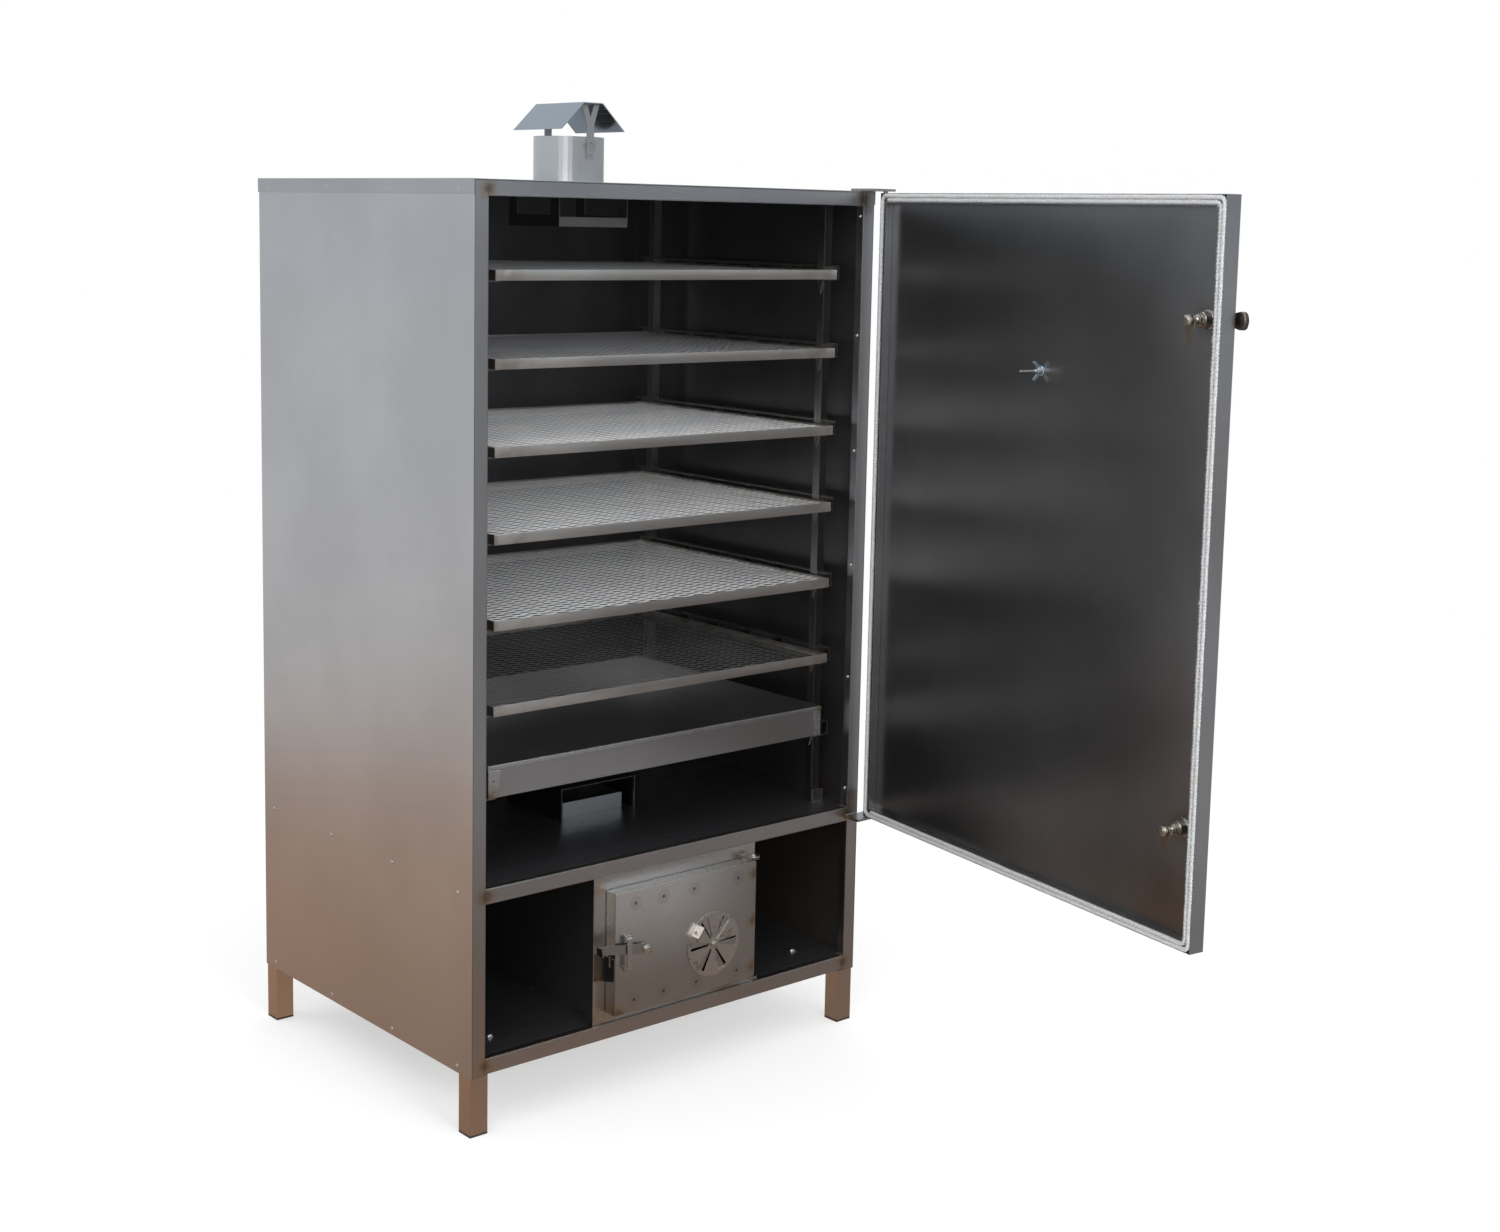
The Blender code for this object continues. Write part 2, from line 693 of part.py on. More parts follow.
# --- Thermometer through the middle of the door, held by a wing nut inside ---
px, pz = PROBE
piece(
    "thermometer",
    rod((px, -0.454, pz), (px, y0 - GAP, pz), 0.034, 48),
    BRIGHT,
    add=[
        rod((px, -0.450, pz), (px, -0.4105, pz), 0.004),
        rod((px, -0.450, pz), (px, -0.3730, pz), 0.002, 16),
    ],
    holder=DOOR,
)
WING = [(-0.006, -0.005), (0.006, -0.005), (0.0185, 0.007), (0.0185, 0.013)]
WING += [(0.012, 0.012), (0.006, 0.004), (-0.006, 0.004), (-0.012, 0.012)]
WING += [(-0.0185, 0.013), (-0.0185, 0.007)]
piece(
    "thermometer_wing_nut",
    rod((px, PANEL + GAP, pz), (px, -0.4150, pz), 0.0075),
    BRIGHT,
    add=[slab([(px + a, -0.4200 + b) for a, b in WING], pz - 0.0012, pz + 0.0012, "Z")],
    cut=[rod((px, -0.5, pz), (px, -0.3, pz), 0.0042)],
    holder=DOOR,
)
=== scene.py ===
"""Looks of a sheet-steel cabinet smoker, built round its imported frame."""

import json
import math
import random

import bmesh
import bpy
from mathutils import Matrix, Vector
from mathutils import noise as cloud


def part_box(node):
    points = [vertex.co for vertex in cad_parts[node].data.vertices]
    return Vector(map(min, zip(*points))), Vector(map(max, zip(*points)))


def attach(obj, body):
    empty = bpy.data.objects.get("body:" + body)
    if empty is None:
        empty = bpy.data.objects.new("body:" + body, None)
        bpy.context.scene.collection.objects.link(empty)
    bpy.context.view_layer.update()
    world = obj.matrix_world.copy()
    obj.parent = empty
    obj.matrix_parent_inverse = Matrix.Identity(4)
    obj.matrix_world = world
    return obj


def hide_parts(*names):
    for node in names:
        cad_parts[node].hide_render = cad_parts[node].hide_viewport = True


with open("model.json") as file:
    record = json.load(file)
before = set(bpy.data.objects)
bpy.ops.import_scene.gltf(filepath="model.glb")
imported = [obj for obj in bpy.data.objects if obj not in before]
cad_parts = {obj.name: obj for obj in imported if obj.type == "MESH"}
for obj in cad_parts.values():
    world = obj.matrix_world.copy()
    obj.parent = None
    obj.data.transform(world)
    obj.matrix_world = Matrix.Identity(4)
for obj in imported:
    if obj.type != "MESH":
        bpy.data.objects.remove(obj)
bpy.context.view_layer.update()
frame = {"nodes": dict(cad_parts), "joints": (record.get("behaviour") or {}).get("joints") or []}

# --- Studio ---
# A pale seamless floor, a white surround and soft light from large screens. The steel mirrors a
# cool sky behind its left side, a dim yard in front of it, and warm ground below.


class Feed:
    """One output in a node tree. Arithmetic on feeds adds the nodes that work it out."""

    def __init__(self, tree, socket=None):
        self.tree = tree
        self.socket = socket

    def node(self, kind, settings=None, values=None, out=0):
        """A new node's output. Its settings are set first, then its sockets' values or links."""
        made = self.tree.nodes.new(kind)
        for name, value in (settings or {}).items():
            setattr(made, name, value)
        for name, value in (values or {}).items():
            socket = made.inputs[name]
            if isinstance(value, Feed):
                self.tree.links.new(value.socket, socket)
            else:
                socket.default_value = (*value, 1.0) if socket.type == "RGBA" else value
        return Feed(self.tree, made.outputs[out])

    def maths(self, operation, *terms):
        return self.node("ShaderNodeMath", {"operation": operation}, dict(enumerate(terms)))

    def __add__(self, other):
        return self.maths("ADD", self, other)

    def __radd__(self, other):
        return self.maths("ADD", other, self)

    def __sub__(self, other):
        return self.maths("SUBTRACT", self, other)

    def __rsub__(self, other):
        return self.maths("SUBTRACT", other, self)

    def __mul__(self, other):
        return self.maths("MULTIPLY", self, other)

    def __rmul__(self, other):
        return self.maths("MULTIPLY", other, self)

    def __gt__(self, other):
        return self.maths("GREATER_THAN", self, other)

    def __lt__(self, other):
        return self.maths("LESS_THAN", self, other)

    def __abs__(self):
        return self.maths("ABSOLUTE", self)

    def rise(self, start, end):
        """0 up to start, 1 from end on, and smooth between them."""
        span = {"Value": self, "From Min": start, "From Max": end}
        return self.node("ShaderNodeMapRange", {"interpolation_type": "SMOOTHSTEP"}, span)

    def mixed(self, first, second):
        """The first colour where this feed is 0, and the second where it is 1."""
        return self.node("ShaderNodeMix", {"data_type": "RGBA"}, {0: self, 6: first, 7: second}, 2)

    def along(self, axis):
        return self.node("ShaderNodeSeparateXYZ", None, {0: self}, "XYZ".index(axis))

    def back_left(self):
        """How far this direction or place lies towards the cabinet's back left."""
        return self.along("Y") * 0.75 - self.along("X") * 0.66

    def stretched(self, x, y, z):
        return self.node("ShaderNodeVectorMath", {"operation": "MULTIPLY"}, {0: self, 1: (x, y, z)})

    def far(self, point):
        """How far this place is from a point."""
        return self.node("ShaderNodeVectorMath", {"operation": "DISTANCE"}, {0: self, 1: point}, 1)

    def noise(self, scale, detail=2.0, roughness=0.5):
        values = {"Vector": self, "Scale": scale, "Detail": detail, "Roughness": roughness}
        return self.node("ShaderNodeTexNoise", None, values)

    def rounded(self, radius):
        """A normal that softens edges by a radius."""
        return self.node("ShaderNodeBevel", {"samples": 3}, {"Radius": radius})

    def relief(self, edge=0.0):
        """A normal for this height in metres, over edges softened by a radius."""
        values = {"Height": self, "Strength": 1.0, "Distance": 1.0}
        if edge:
            values["Normal"] = self.rounded(edge)
        return self.node("ShaderNodeBump", None, values)


WHITE = (1.0, 1.0, 1.0)
world = bpy.data.worlds.new("studio")
bpy.context.scene.world = world
world.use_nodes = True
air = Feed(world.node_tree)
way = air.node("ShaderNodeTexCoord", out="Generated")
camera_ray = air.node("ShaderNodeLightPath", out="Is Camera Ray")
mirrored_ray = air.node("ShaderNodeLightPath", out="Is Glossy Ray")
low_sky = way.back_left().rise(-0.55, 0.70).mixed((0.30, 0.30, 0.305), (0.62, 0.64, 0.67))
sky = way.along("Z").rise(-0.02, 0.16).mixed(low_sky, (0.48, 0.545, 0.61))
colour = camera_ray.mixed(mirrored_ray.mixed(WHITE, sky), WHITE)
background = world.node_tree.nodes["Background"]
world.node_tree.links.new(colour.socket, background.inputs["Color"])
background.inputs["Strength"].default_value = 1.0
bpy.context.scene.view_settings.view_transform = "Standard"

HALF, DROP = 30.0, 0.0004
corners = ((-HALF, -HALF), (HALF, -HALF), (HALF, HALF), (-HALF, HALF))
mesh = bpy.data.meshes.new("floor")
mesh.from_pydata([(x, y, -DROP) for x, y in corners], [], [(0, 1, 2, 3)])
floor = bpy.data.objects.new("floor", mesh)
bpy.context.scene.collection.objects.link(floor)
pale = bpy.data.materials.new("pale_floor")
pale.use_nodes = True
pale.node_tree.nodes.clear()
ground = Feed(pale.node_tree)
spot = ground.node("ShaderNodeTexCoord", out="Object")
mirrored_ray = ground.node("ShaderNodeLightPath", out="Is Glossy Ray")
matt = ground.node("ShaderNodeBsdfDiffuse", None, {"Color": (0.90, 0.90, 0.90)})
white = ground.node("ShaderNodeEmission", None, {"Color": WHITE})
fade = spot.far((0.0, 0.0, 0.0)).rise(1.2, 4.5) * 0.5 + 0.5
plain = ground.node("ShaderNodeMixShader", None, {0: fade, 1: matt, 2: white})
near = spot.far((-0.9, 0.8, 0.0)).rise(0.9, 4.2)
lit_yard = near.mixed((0.46, 0.315, 0.235), (0.63, 0.63, 0.64))
dim_yard = near.mixed((0.165, 0.135, 0.115), (0.30, 0.295, 0.30))
yard = spot.back_left().rise(-1.2, 2.0).mixed(dim_yard, lit_yard)
ground_reflection = ground.node("ShaderNodeEmission", None, {"Color": yard})
whole = ground.node("ShaderNodeMixShader", None, {0: mirrored_ray, 1: plain, 2: ground_reflection})
output = pale.node_tree.nodes.new("ShaderNodeOutputMaterial")
pale.node_tree.links.new(whole.socket, output.inputs["Surface"])
floor.data.materials.append(pale)

EYE = (-2.6372, -3.1011, 1.7539)
TURN, NOD, LEAN = (math.radians(a) for a in (-41.006, -7.608, 1.206))
camera = bpy.data.objects.new("camera", bpy.data.cameras.new("camera"))
bpy.context.scene.collection.objects.link(camera)
bpy.context.scene.camera = camera
forward = Vector((math.sin(-TURN) * math.cos(NOD), math.cos(TURN) * math.cos(NOD), math.sin(NOD)))
level = Vector((math.cos(TURN), math.sin(TURN), 0.0))
upright = level.cross(forward)
right = level * math.cos(LEAN) + upright * math.sin(LEAN)
up = upright * math.cos(LEAN) - level * math.sin(LEAN)
aim = Matrix((right, up, -forward)).transposed().to_4x4()
camera.matrix_world = Matrix.Translation(EYE) @ aim
camera.data.sensor_width = 36.0
camera.data.lens = 50.588
camera.data.shift_y = -0.0773

AIMED_AT = Vector((0, 0, 0.9))
for name, place, size, power, tone, mirrored in (
    ("key_screen", (-3.2, -2.6, 3.6), 2.4, 70.0, (1.0, 0.98, 0.95), True),
    ("back_screen", (-3.5, 3.8, 3.2), 3.0, 60.0, (0.90, 0.95, 1.0), False),
    ("top_screen", (0.6, -0.6, 4.2), 2.2, 40.0, WHITE, True),
    ("front_screen", (-0.6, -4.6, 1.9), 2.0, 125.0, (0.98, 0.99, 1.0), False),
):
    lamp = bpy.data.lights.new(name, "AREA")
    lamp.size = size
    lamp.energy = power
    lamp.color = tone
    light = bpy.data.objects.new(name, lamp)
    bpy.context.scene.collection.objects.link(light)
    light.location = place
    light.rotation_euler = (Vector(place) - AIMED_AT).to_track_quat("Z", "Y").to_euler()
    light.visible_camera = False
    light.visible_glossy = mirrored

# --- Skin ---
# Two side panels, a back panel and a lid of 1.5 mm stainless sheet with a fine upright grain.
# The lid's edges turn down over the panels. Button-head screws hold the sheets to the frame.


def finish(name, even):
    """A new material, the place on it in metres, and its shader with its even values set."""
    made = bpy.data.materials.new(name)
    made.use_nodes = True
    shader = made.node_tree.nodes["Principled BSDF"]
    for socket, value in even.items():
        shader.inputs[socket].default_value = value
    return made, Feed(made.node_tree).node("ShaderNodeTexCoord", out="Object"), shader


def wired(shader, **feeds):
    """Joins feeds to the shader's sockets."""
    for socket, feed in feeds.items():
        feed.tree.links.new(feed.socket, shader.inputs[socket.replace("_", " ").title()])


def shade(colour, factor):
    return tuple(min(1.0, part * factor) for part in colour)


def grained(place, across, lengthways, axis, roughness):
    """Noise drawn out along one axis, as brushing leaves it."""
    scales = [across] * 3
    scales["XYZ".index(axis)] = lengthways
    return place.stretched(*scales).noise(1.0, 3.0, roughness)


def brushed(
    name, colour, roughness, grain="Z",
    tints=(), inside_shade=None, ground_reflection=0.0, wave=0.0012, edge=0.0012, metal=1.0,
):
    """Satin stainless: grain along one axis, faint clouds and rubs, straw and brown weld tints.

    tints are (point, reach) pairs. The inside shade is (axis, lowest, highest, colour): the range
    of places that show the cabinet's inside, painted darker there as painted shade. The ground
    reflection is how strongly the foot is painted brown, a painted reflection of the warm ground
    below. wave is the sheet's waviness and edge its corner radius, both in metres.
    """
    made, place, shader = finish(name, {"Metallic": metal})
    lines = grained(place, 700.0, 9.0, grain, 0.6)
    streaks = grained(place, 26.0, 1.6, grain, 0.55)
    clouds = place.noise(3.2, 4.0, 0.55).rise(0.3, 0.7)
    rub = place.noise(11.0, 5.0, 0.62).rise(0.56, 0.74)
    base = clouds.mixed(shade(colour, 0.94), shade(colour, 1.05))
    base = (lines.rise(0.25, 0.75) * 0.15).mixed(base, shade(colour, 0.82))
    # Painted shade: where a panel shows the cabinet's inside, its colour is swapped for a darker
    # one.
    if inside_shade:
        axis, low, high, inner = inside_shade
        at = place.along(axis)
        inside = (at > low) * (at < high)
        wired(shader, metallic=1.0 - inside * 0.08)
        base = inside.mixed(base, clouds.mixed(shade(inner, 0.85), shade(inner, 1.15)))
    # Painted reflection: the colour is browned towards the foot, as the warm ground below would
    # mirror in the steel.
    if ground_reflection:
        down = 1.0 - place.along("Z").rise(0.15, 0.85)
        base = (down * ground_reflection).mixed(base, (0.42, 0.30, 0.22))
    for point, reach in tints:
        near = place.far(point) + (place.noise(60.0, 3.0) - 0.5) * reach * 0.8
        straw = 1.0 - near.rise(reach * 0.45, reach)
        brown = 1.0 - near.rise(reach * 0.10, reach * 0.55)
        base = (straw * 0.55).mixed(base, (0.42, 0.31, 0.19))
        base = (brown * 0.60).mixed(base, (0.16, 0.105, 0.085))
    height = lines * 0.000012 + streaks * 0.000012 + place.noise(2.1, 1.5) * wave
    wired(
        shader,
        base_color=base,
        roughness=roughness + (lines - 0.5) * 0.04 + (streaks - 0.5) * 0.025 + rub * 0.05,
        normal=height.relief(edge),
    )
    return made


def dress(look, *nodes):
    """Gives carried-over CAD nodes their finish."""
    for node in nodes:
        slots = frame["nodes"][node].data.materials
        slots.clear()
        slots.append(look)


def made_piece(name, body, mesh, look, stands_for=None, smooth=True, turn=None):
    """A finished piece from a bmesh, riding on its body and standing for a CAD node."""
    if turn:
        bmesh.ops.transform(mesh, matrix=turn, verts=mesh.verts)
    bmesh.ops.recalc_face_normals(mesh, faces=mesh.faces)
    data = bpy.data.meshes.new(name)
    mesh.to_mesh(data)
    mesh.free()
    if smooth:
        data.shade_smooth()
        data.set_sharp_from_angle(angle=math.radians(35))
    data.materials.append(look)
    piece = bpy.data.objects.new(name, data)
    bpy.context.scene.collection.objects.link(piece)
    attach(piece, body)
    if stands_for:
        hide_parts(stands_for)


def turned(mesh, profile, at, facing, sides=20):
    """A lathe shape: (radius, height) pairs from the axis outwards or inwards, along facing."""
    quat = Vector(facing).to_track_quat("Z", "Y")
    rings = []
    for radius, height in profile:
        count = sides if radius > 0 else 1
        ring = []
        for i in range(count):
            a = 2 * math.pi * i / sides
            spot = Vector((radius * math.cos(a), radius * math.sin(a), height))
            ring.append(mesh.verts.new(Vector(at) + quat @ spot))
        rings.append(ring)
    for one, two in zip(rings, rings[1:]):
        for i in range(sides):
            j = (i + 1) % sides
            corners = [one[i % len(one)], one[j % len(one)], two[j % len(two)], two[i % len(two)]]
            corners = list(dict.fromkeys(corners))
            if len(corners) > 2:
                mesh.faces.new(corners)


def button_head(mesh, at, facing, radius=0.0045, rise=1.0):
    """A low domed screw head with a six-sided socket."""
    socket = [(0, 0.25), (0.38, 0.25), (0.40, 0.62)]
    dome = [(0.62, 0.58), (0.86, 0.36), (1.0, 0.0)]
    profile = [(radius * r, radius * rise * h) for r, h in socket + dome]
    turned(mesh, profile, at, facing, 18)


side_low, side_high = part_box("side_panel_left")
other_low, other_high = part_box("side_panel_right")
back_low, back_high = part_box("back_panel")
lid_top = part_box("lid")[1].z
STEEL = (0.60, 0.605, 0.615)
# The darker grey below is painted on the panels' inside faces as painted shade.
PAINTED_SHADE_GREY = (0.175, 0.175, 0.182)
# The last column browns each panel towards its foot, a painted reflection of the warm ground below.
for name, node, axis, low, high, ground_reflection in (
    ("left_skin", "side_panel_left", "X", (side_low.x + side_high.x) / 2, 0.0, 0.30),
    ("right_skin", "side_panel_right", "X", 0.0, (other_low.x + other_high.x) / 2, 0.35),
    ("back_skin", "back_panel", "Y", 0.0, (back_low.y + back_high.y) / 2, 0.35),
):
    dress(brushed(name, STEEL, 0.30, inside_shade=(axis, low, high, PAINTED_SHADE_GREY), ground_reflection=ground_reflection), node)
dress(brushed("lid_sheet", (0.52, 0.525, 0.53), 0.30, grain="X"), "lid")

# Each row of screws: its height, how far it stands off the panel, and how domed its heads are.
ROWS = ((lid_top - 0.0155, 0.0018, 0.2), (0.475, 0.0, 0.6), (0.131, 0.0, 0.6))
SIDE_SCREWS, BACK_SCREWS = (0.363, 0.121, -0.116, -0.353), (-0.42, -0.14, 0.14, 0.42)
screws = bmesh.new()
middle_y = (side_low.y + side_high.y) / 2
for z, out, rise in ROWS:
    for y in SIDE_SCREWS:
        button_head(screws, (side_low.x - out, middle_y + y, z), (-1, 0, 0), rise=rise)
        button_head(screws, (other_high.x + out, middle_y + y, z), (1, 0, 0), rise=rise)
for x in BACK_SCREWS:
    for z, out, rise in ROWS:
        button_head(screws, (x, back_high.y + out, z), (0, 1, 0), rise=rise)
SCREW_STEEL = {"Metallic": 1.0, "Base Color": (0.62, 0.60, 0.57, 1.0)}
bright, place, shader = finish("bright_screws", SCREW_STEEL)
wired(shader, roughness=place.noise(300.0, 2.0) * 0.2 + 0.18)
made_piece("skin_screws", "cabinet", screws, bright)

# --- Front frame ---
# Two posts and three rails of 30 x 20 square-edged tube, butt welded and ground flush. The welds
# leave straw and brown heat marks, and a thin fillet bead in each inner corner.


def joined(mesh, rings, loop=False):
    """Faces between rings of points, one after another, and over both ends unless it loops."""
    for one, two in zip(rings, rings[1:] + (rings[:1] if loop else [])):
        for i in range(len(one)):
            j = (i + 1) % len(one)
            mesh.faces.new((one[i], one[j], two[j], two[i]))
    if not loop:
        mesh.faces.new(rings[0])
        mesh.faces.new(rings[-1])


def tube(mesh, points, radius, sides=8):
    """A swept round bar. radius gives one for each point's number."""
    rings = []
    side = None
    for i, point in enumerate(points):
        after = points[i + 1] if i + 1 < len(points) else point
        before = points[i - 1] if i else point
        ahead = (after - before).normalized()
        if side is None:
            side = ahead.orthogonal().normalized()
        side = (side - ahead * side.dot(ahead)).normalized()
        other = ahead.cross(side)
        ring = []
        r = radius(i)
        for k in range(sides):
            a = 2 * math.pi * k / sides
            ring.append(mesh.verts.new(point + (side * math.cos(a) + other * math.sin(a)) * r))
        rings.append(ring)
    joined(mesh, rings)


fine = random.Random(7)


def bead(mesh, start, end, width):
    """A weld bead: a low ridge with the ripple that the pool leaves as it moves."""
    start, end = Vector(start), Vector(end)
    count = max(6, int((end - start).length / 0.0008))

    def ripple(i):
        wobble = fine.uniform(-0.05, 0.05)
        return width * 0.5 * (0.80 + 0.20 * abs(math.sin(i * 1.05)) + wobble)

    tube(mesh, [start.lerp(end, i / count) for i in range(count + 1)], ripple, 7)


post_low, post_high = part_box("front_post_left")
mate_low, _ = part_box("front_post_right")
rails = {name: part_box(f"front_rail_{name}") for name in ("bottom", "middle", "top")}
heat_marks = []
for name, (low, high) in rails.items():
    for x in (low.x, high.x):
        reach = 0.030 if name == "middle" else 0.026
        heat_marks.append(((x, low.y, (low.z + high.z) / 2), reach))
TUBE = (0.50, 0.502, 0.508)
# The fourth column browns each tube towards its foot, a painted reflection of the warm ground
# below.
for name, grain, roughness, ground_reflection, edge, *nodes in (
    ("post_tube", "Z", 0.30, 0.55, 0.0032, "front_post_left"),
    ("right_post_tube", "Z", 0.30, 0.40, 0.0032, "front_post_right"),
    ("rail_tube", "X", 0.28, 0.35, 0.0045, *[f"front_rail_{rail}" for rail in rails]),
):
    extra = {"tints": heat_marks, "wave": 0.0004}
    dress(brushed(name, TUBE, roughness, grain, ground_reflection=ground_reflection, edge=edge, **extra), *nodes)
welds = bmesh.new()
for name, (low, high) in rails.items():
    edges = {"bottom": [high.z], "middle": [low.z, high.z], "top": [low.z]}[name]
    for x in (low.x, high.x):
        for z in edges:
            bead(welds, (x, low.y + 0.003, z), (x, high.y - 0.001, z), 0.0042)
weld_look, place, shader = finish("weld_bead", {"Metallic": 1.0})
wired(
    shader,
    base_color=place.noise(240.0, 3.0).rise(0.3, 0.7).mixed((0.45, 0.40, 0.34), (0.17, 0.14, 0.16)),
    roughness=place.noise(500.0) * 0.3 + 0.25,
    normal=(place.noise(900.0, 2.0) * 0.0002).relief(),
)
made_piece("frame_welds", "cabinet", welds, weld_look)

# --- Legs ---
# Four stubs of 40 mm square tube under the corners, each with a ribbed black plastic plug.

CORNERS = ("front_left", "front_right", "rear_left", "rear_right")
leg_tube = brushed("leg_tube", (0.60, 0.485, 0.405), 0.26, wave=0.0003)
dress(leg_tube, *[f"leg_{corner}" for corner in CORNERS])
plug, place, shader = finish("foot_plug", {"Specular IOR Level": 0.4})
scuff = place.noise(90.0, 5.0, 0.7).rise(0.52, 0.72)
pits = place.noise(1400.0, 2.0) * 0.0003 + place.noise(160.0, 4.0) * 0.0006
wired(
    shader,
    base_color=scuff.mixed((0.035, 0.026, 0.022), (0.11, 0.085, 0.065)),
    roughness=scuff * 0.25 + 0.5,
    normal=pits.relief(0.0008),
)
dress(plug, *[f"foot_plug_{corner}" for corner in CORNERS])
leg_beads = bmesh.new()
for corner in CORNERS:
    low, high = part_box(f"leg_{corner}")
    y, z = low.y + 0.0012, high.z + 0.0004
    bead(leg_beads, (low.x + 0.002, y, z), (high.x - 0.002, y, z), 0.0034)
    inner = high.x if corner.endswith("left") else low.x
    bead(leg_beads, (inner, low.y + 0.002, z), (inner, high.y - 0.002, z), 0.0040)
made_piece("leg_welds", "cabinet", leg_beads, weld_look)

# --- Chimney ---
# A rolled pipe through the lid with a seam weld at the back, and a folded cap held up by two
# forked straps. Each strap is riveted to the pipe and tack welded under the cap.

pipe_low, pipe_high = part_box("chimney_pipe")
flue = (pipe_low + pipe_high) / 2
rim = [((flue.x, pipe_low.y + 0.002, pipe_high.z - 0.02), 0.02)]
dress(brushed("pipe_sheet", (0.70, 0.705, 0.715), 0.24, tints=rim, wave=0.0005), "chimney_pipe")
dress(brushed("cap_sheet", (0.60, 0.625, 0.65), 0.27, grain="Y", wave=0.0010), "chimney_cap")
FORK = 0.016
straps = {facing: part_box(f"cap_strap_{name}") for name, facing in (("front", -1), ("rear", 1))}
strap_ends = []
for low, high in straps.values():
    strap_ends += [((flue.x + side * FORK, low.y, high.z), 0.012) for side in (-1, 1)]
strap_sheet = brushed("strap_sheet", (0.55, 0.55, 0.55), 0.30, tints=strap_ends, wave=0.0)
dress(strap_sheet, "cap_strap_front", "cap_strap_rear")
chimney = bmesh.new()
for facing, (low, high) in straps.items():
    y = low.y if facing < 0 else high.y
    for z in (low.z + 0.010, low.z + 0.034):
        button_head(chimney, (flue.x, y, z), (0, facing, 0), 0.0032)
    for side in (-1, 1):
        x, z = flue.x + side * FORK, high.z - 0.0010
        bead(chimney, (x - 0.005, y, z), (x + 0.005, y, z), 0.0030)
y = pipe_high.y - 0.0003
bead(chimney, (flue.x, y, lid_top), (flue.x, y, pipe_high.z), 0.0028)
around = []
radius = (pipe_high.x - pipe_low.x) / 2 + 0.0006
for i in range(241):
    a = 2 * math.pi * i / 240
    spot = (flue.x + radius * math.cos(a), flue.y + radius * math.sin(a), lid_top + 0.0004)
    around.append(Vector(spot))
tube(chimney, around, lambda i: 0.0017 * (0.85 + 0.15 * math.sin(i * 2.1)), 6)
made_piece("chimney_welds_and_rivets", "cabinet", chimney, weld_look)

# --- Chamber lining ---
# Shelf, compartment floor, baffle box, smoke inlet collar and its folded hood. All are the same
# All are the same sheet as the skin. The shelf, compartment floor, baffle box and hood are painted
# darker than the skin, as painted shade inside the cabinet.

shelf_sheet = brushed("shelf_sheet", (0.33, 0.34, 0.37), 0.28, "X", wave=0.0008, metal=0.96)
dress(shelf_sheet, "chamber_shelf", "compartment_floor")
baffle_sheet = brushed("baffle_sheet", (0.34, 0.335, 0.325), 0.34, "X", wave=0.0005, metal=0.95)
dress(baffle_sheet, "flue_baffle")
hood_sheet = brushed("hood_sheet", (0.26, 0.26, 0.265), 0.30, "X", wave=0.0006, edge=0.0018)
dress(hood_sheet, "smoke_deflector")
dress(brushed("collar_sheet", (0.62, 0.625, 0.63), 0.30, "X", wave=0.0006), "smoke_collar")
floor_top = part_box("compartment_floor")[1].z
shelf_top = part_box("chamber_shelf")[1].z
CENTRE_X, BOLTS_HALF, SEAMS_HALF = -0.00915, 0.400, 0.4982
BOLT_ROWS, HOOD_TACKS = (0.2096, 0.820), (0.42, 0.50, 0.56)
CHANNEL_SCREWS = (1.763, 1.513, 1.2675, 1.021, 0.776, 0.529)
lining = bmesh.new()
flange = [(0.0115, 0.0), (0.0115, 0.0012), (0.0092, 0.0016)]
dome = [(0.0092, 0.0014), (0.0086, 0.0034), (0.0064, 0.0056), (0.0034, 0.0068), (0, 0.0071)]
for x in (CENTRE_X - BOLTS_HALF, CENTRE_X + BOLTS_HALF):
    for y in BOLT_ROWS:
        turned(lining, flange, (x, y, floor_top), (0, 0, 1), 24)
        turned(lining, dome, (x, y, floor_top), (0, 0, 1), 24)
for z in CHANNEL_SCREWS:
    button_head(lining, (mate_low.x, mate_low.y + 0.010, z), (-1, 0, 0), 0.0040)
    button_head(lining, (post_high.x, post_low.y + 0.010, z), (1, 0, 0), 0.0040)
made_piece("lining_bolts", "cabinet", lining, bright)
seams = bmesh.new()
hood_low, hood_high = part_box("smoke_deflector")
z = shelf_top + 0.001
for x in (hood_low.x, hood_high.x):
    for y in HOOD_TACKS:
        bead(seams, (x, y - 0.010, z), (x, y + 0.010, z), 0.0032)
for x in (CENTRE_X - SEAMS_HALF, CENTRE_X + SEAMS_HALF):
    for i in range(7):
        y = 0.18 + i * 0.11
        bead(seams, (x, y, shelf_top), (x, y + 0.018, shelf_top), 0.0032)
made_piece("lining_welds", "cabinet", seams, weld_look)

# --- Rack ladders ---
# Two uprights of 20 mm tube a side, with seven slotted channels welded across them. A small
# bent gusset stiffens each joint at the front, and a foot clip holds each upright to the shelf.

# The ladder tube is painted darker than the skin, as painted shade inside the cabinet.
ladder_tube = brushed("ladder_tube", (0.37, 0.355, 0.335), 0.28, wave=0.0003)
dress(ladder_tube, "rack_ladder_left", "rack_ladder_right")


def block(mesh, low, high, bevel):
    """A box with softened edges."""
    made = bmesh.ops.create_cube(mesh, size=1.0)
    low, high = Vector(low), Vector(high)
    for vert in made["verts"]:
        vert.co = Vector((low[i] + (vert.co[i] + 0.5) * (high[i] - low[i]) for i in range(3)))
    edges = list({edge for vert in made["verts"] for edge in vert.link_edges})
    bmesh.ops.bevel(mesh, geom=edges, offset=bevel, segments=2, affect="EDGES", profile=0.6)


def cut_out(mesh, outline, thick):
    """A flat shape of sheet: its outline, and the same outline moved by the thickness."""
    near = [mesh.verts.new(point) for point in outline]
    far = [mesh.verts.new(Vector(point) + Vector(thick)) for point in outline]
    joined(mesh, [near, far])


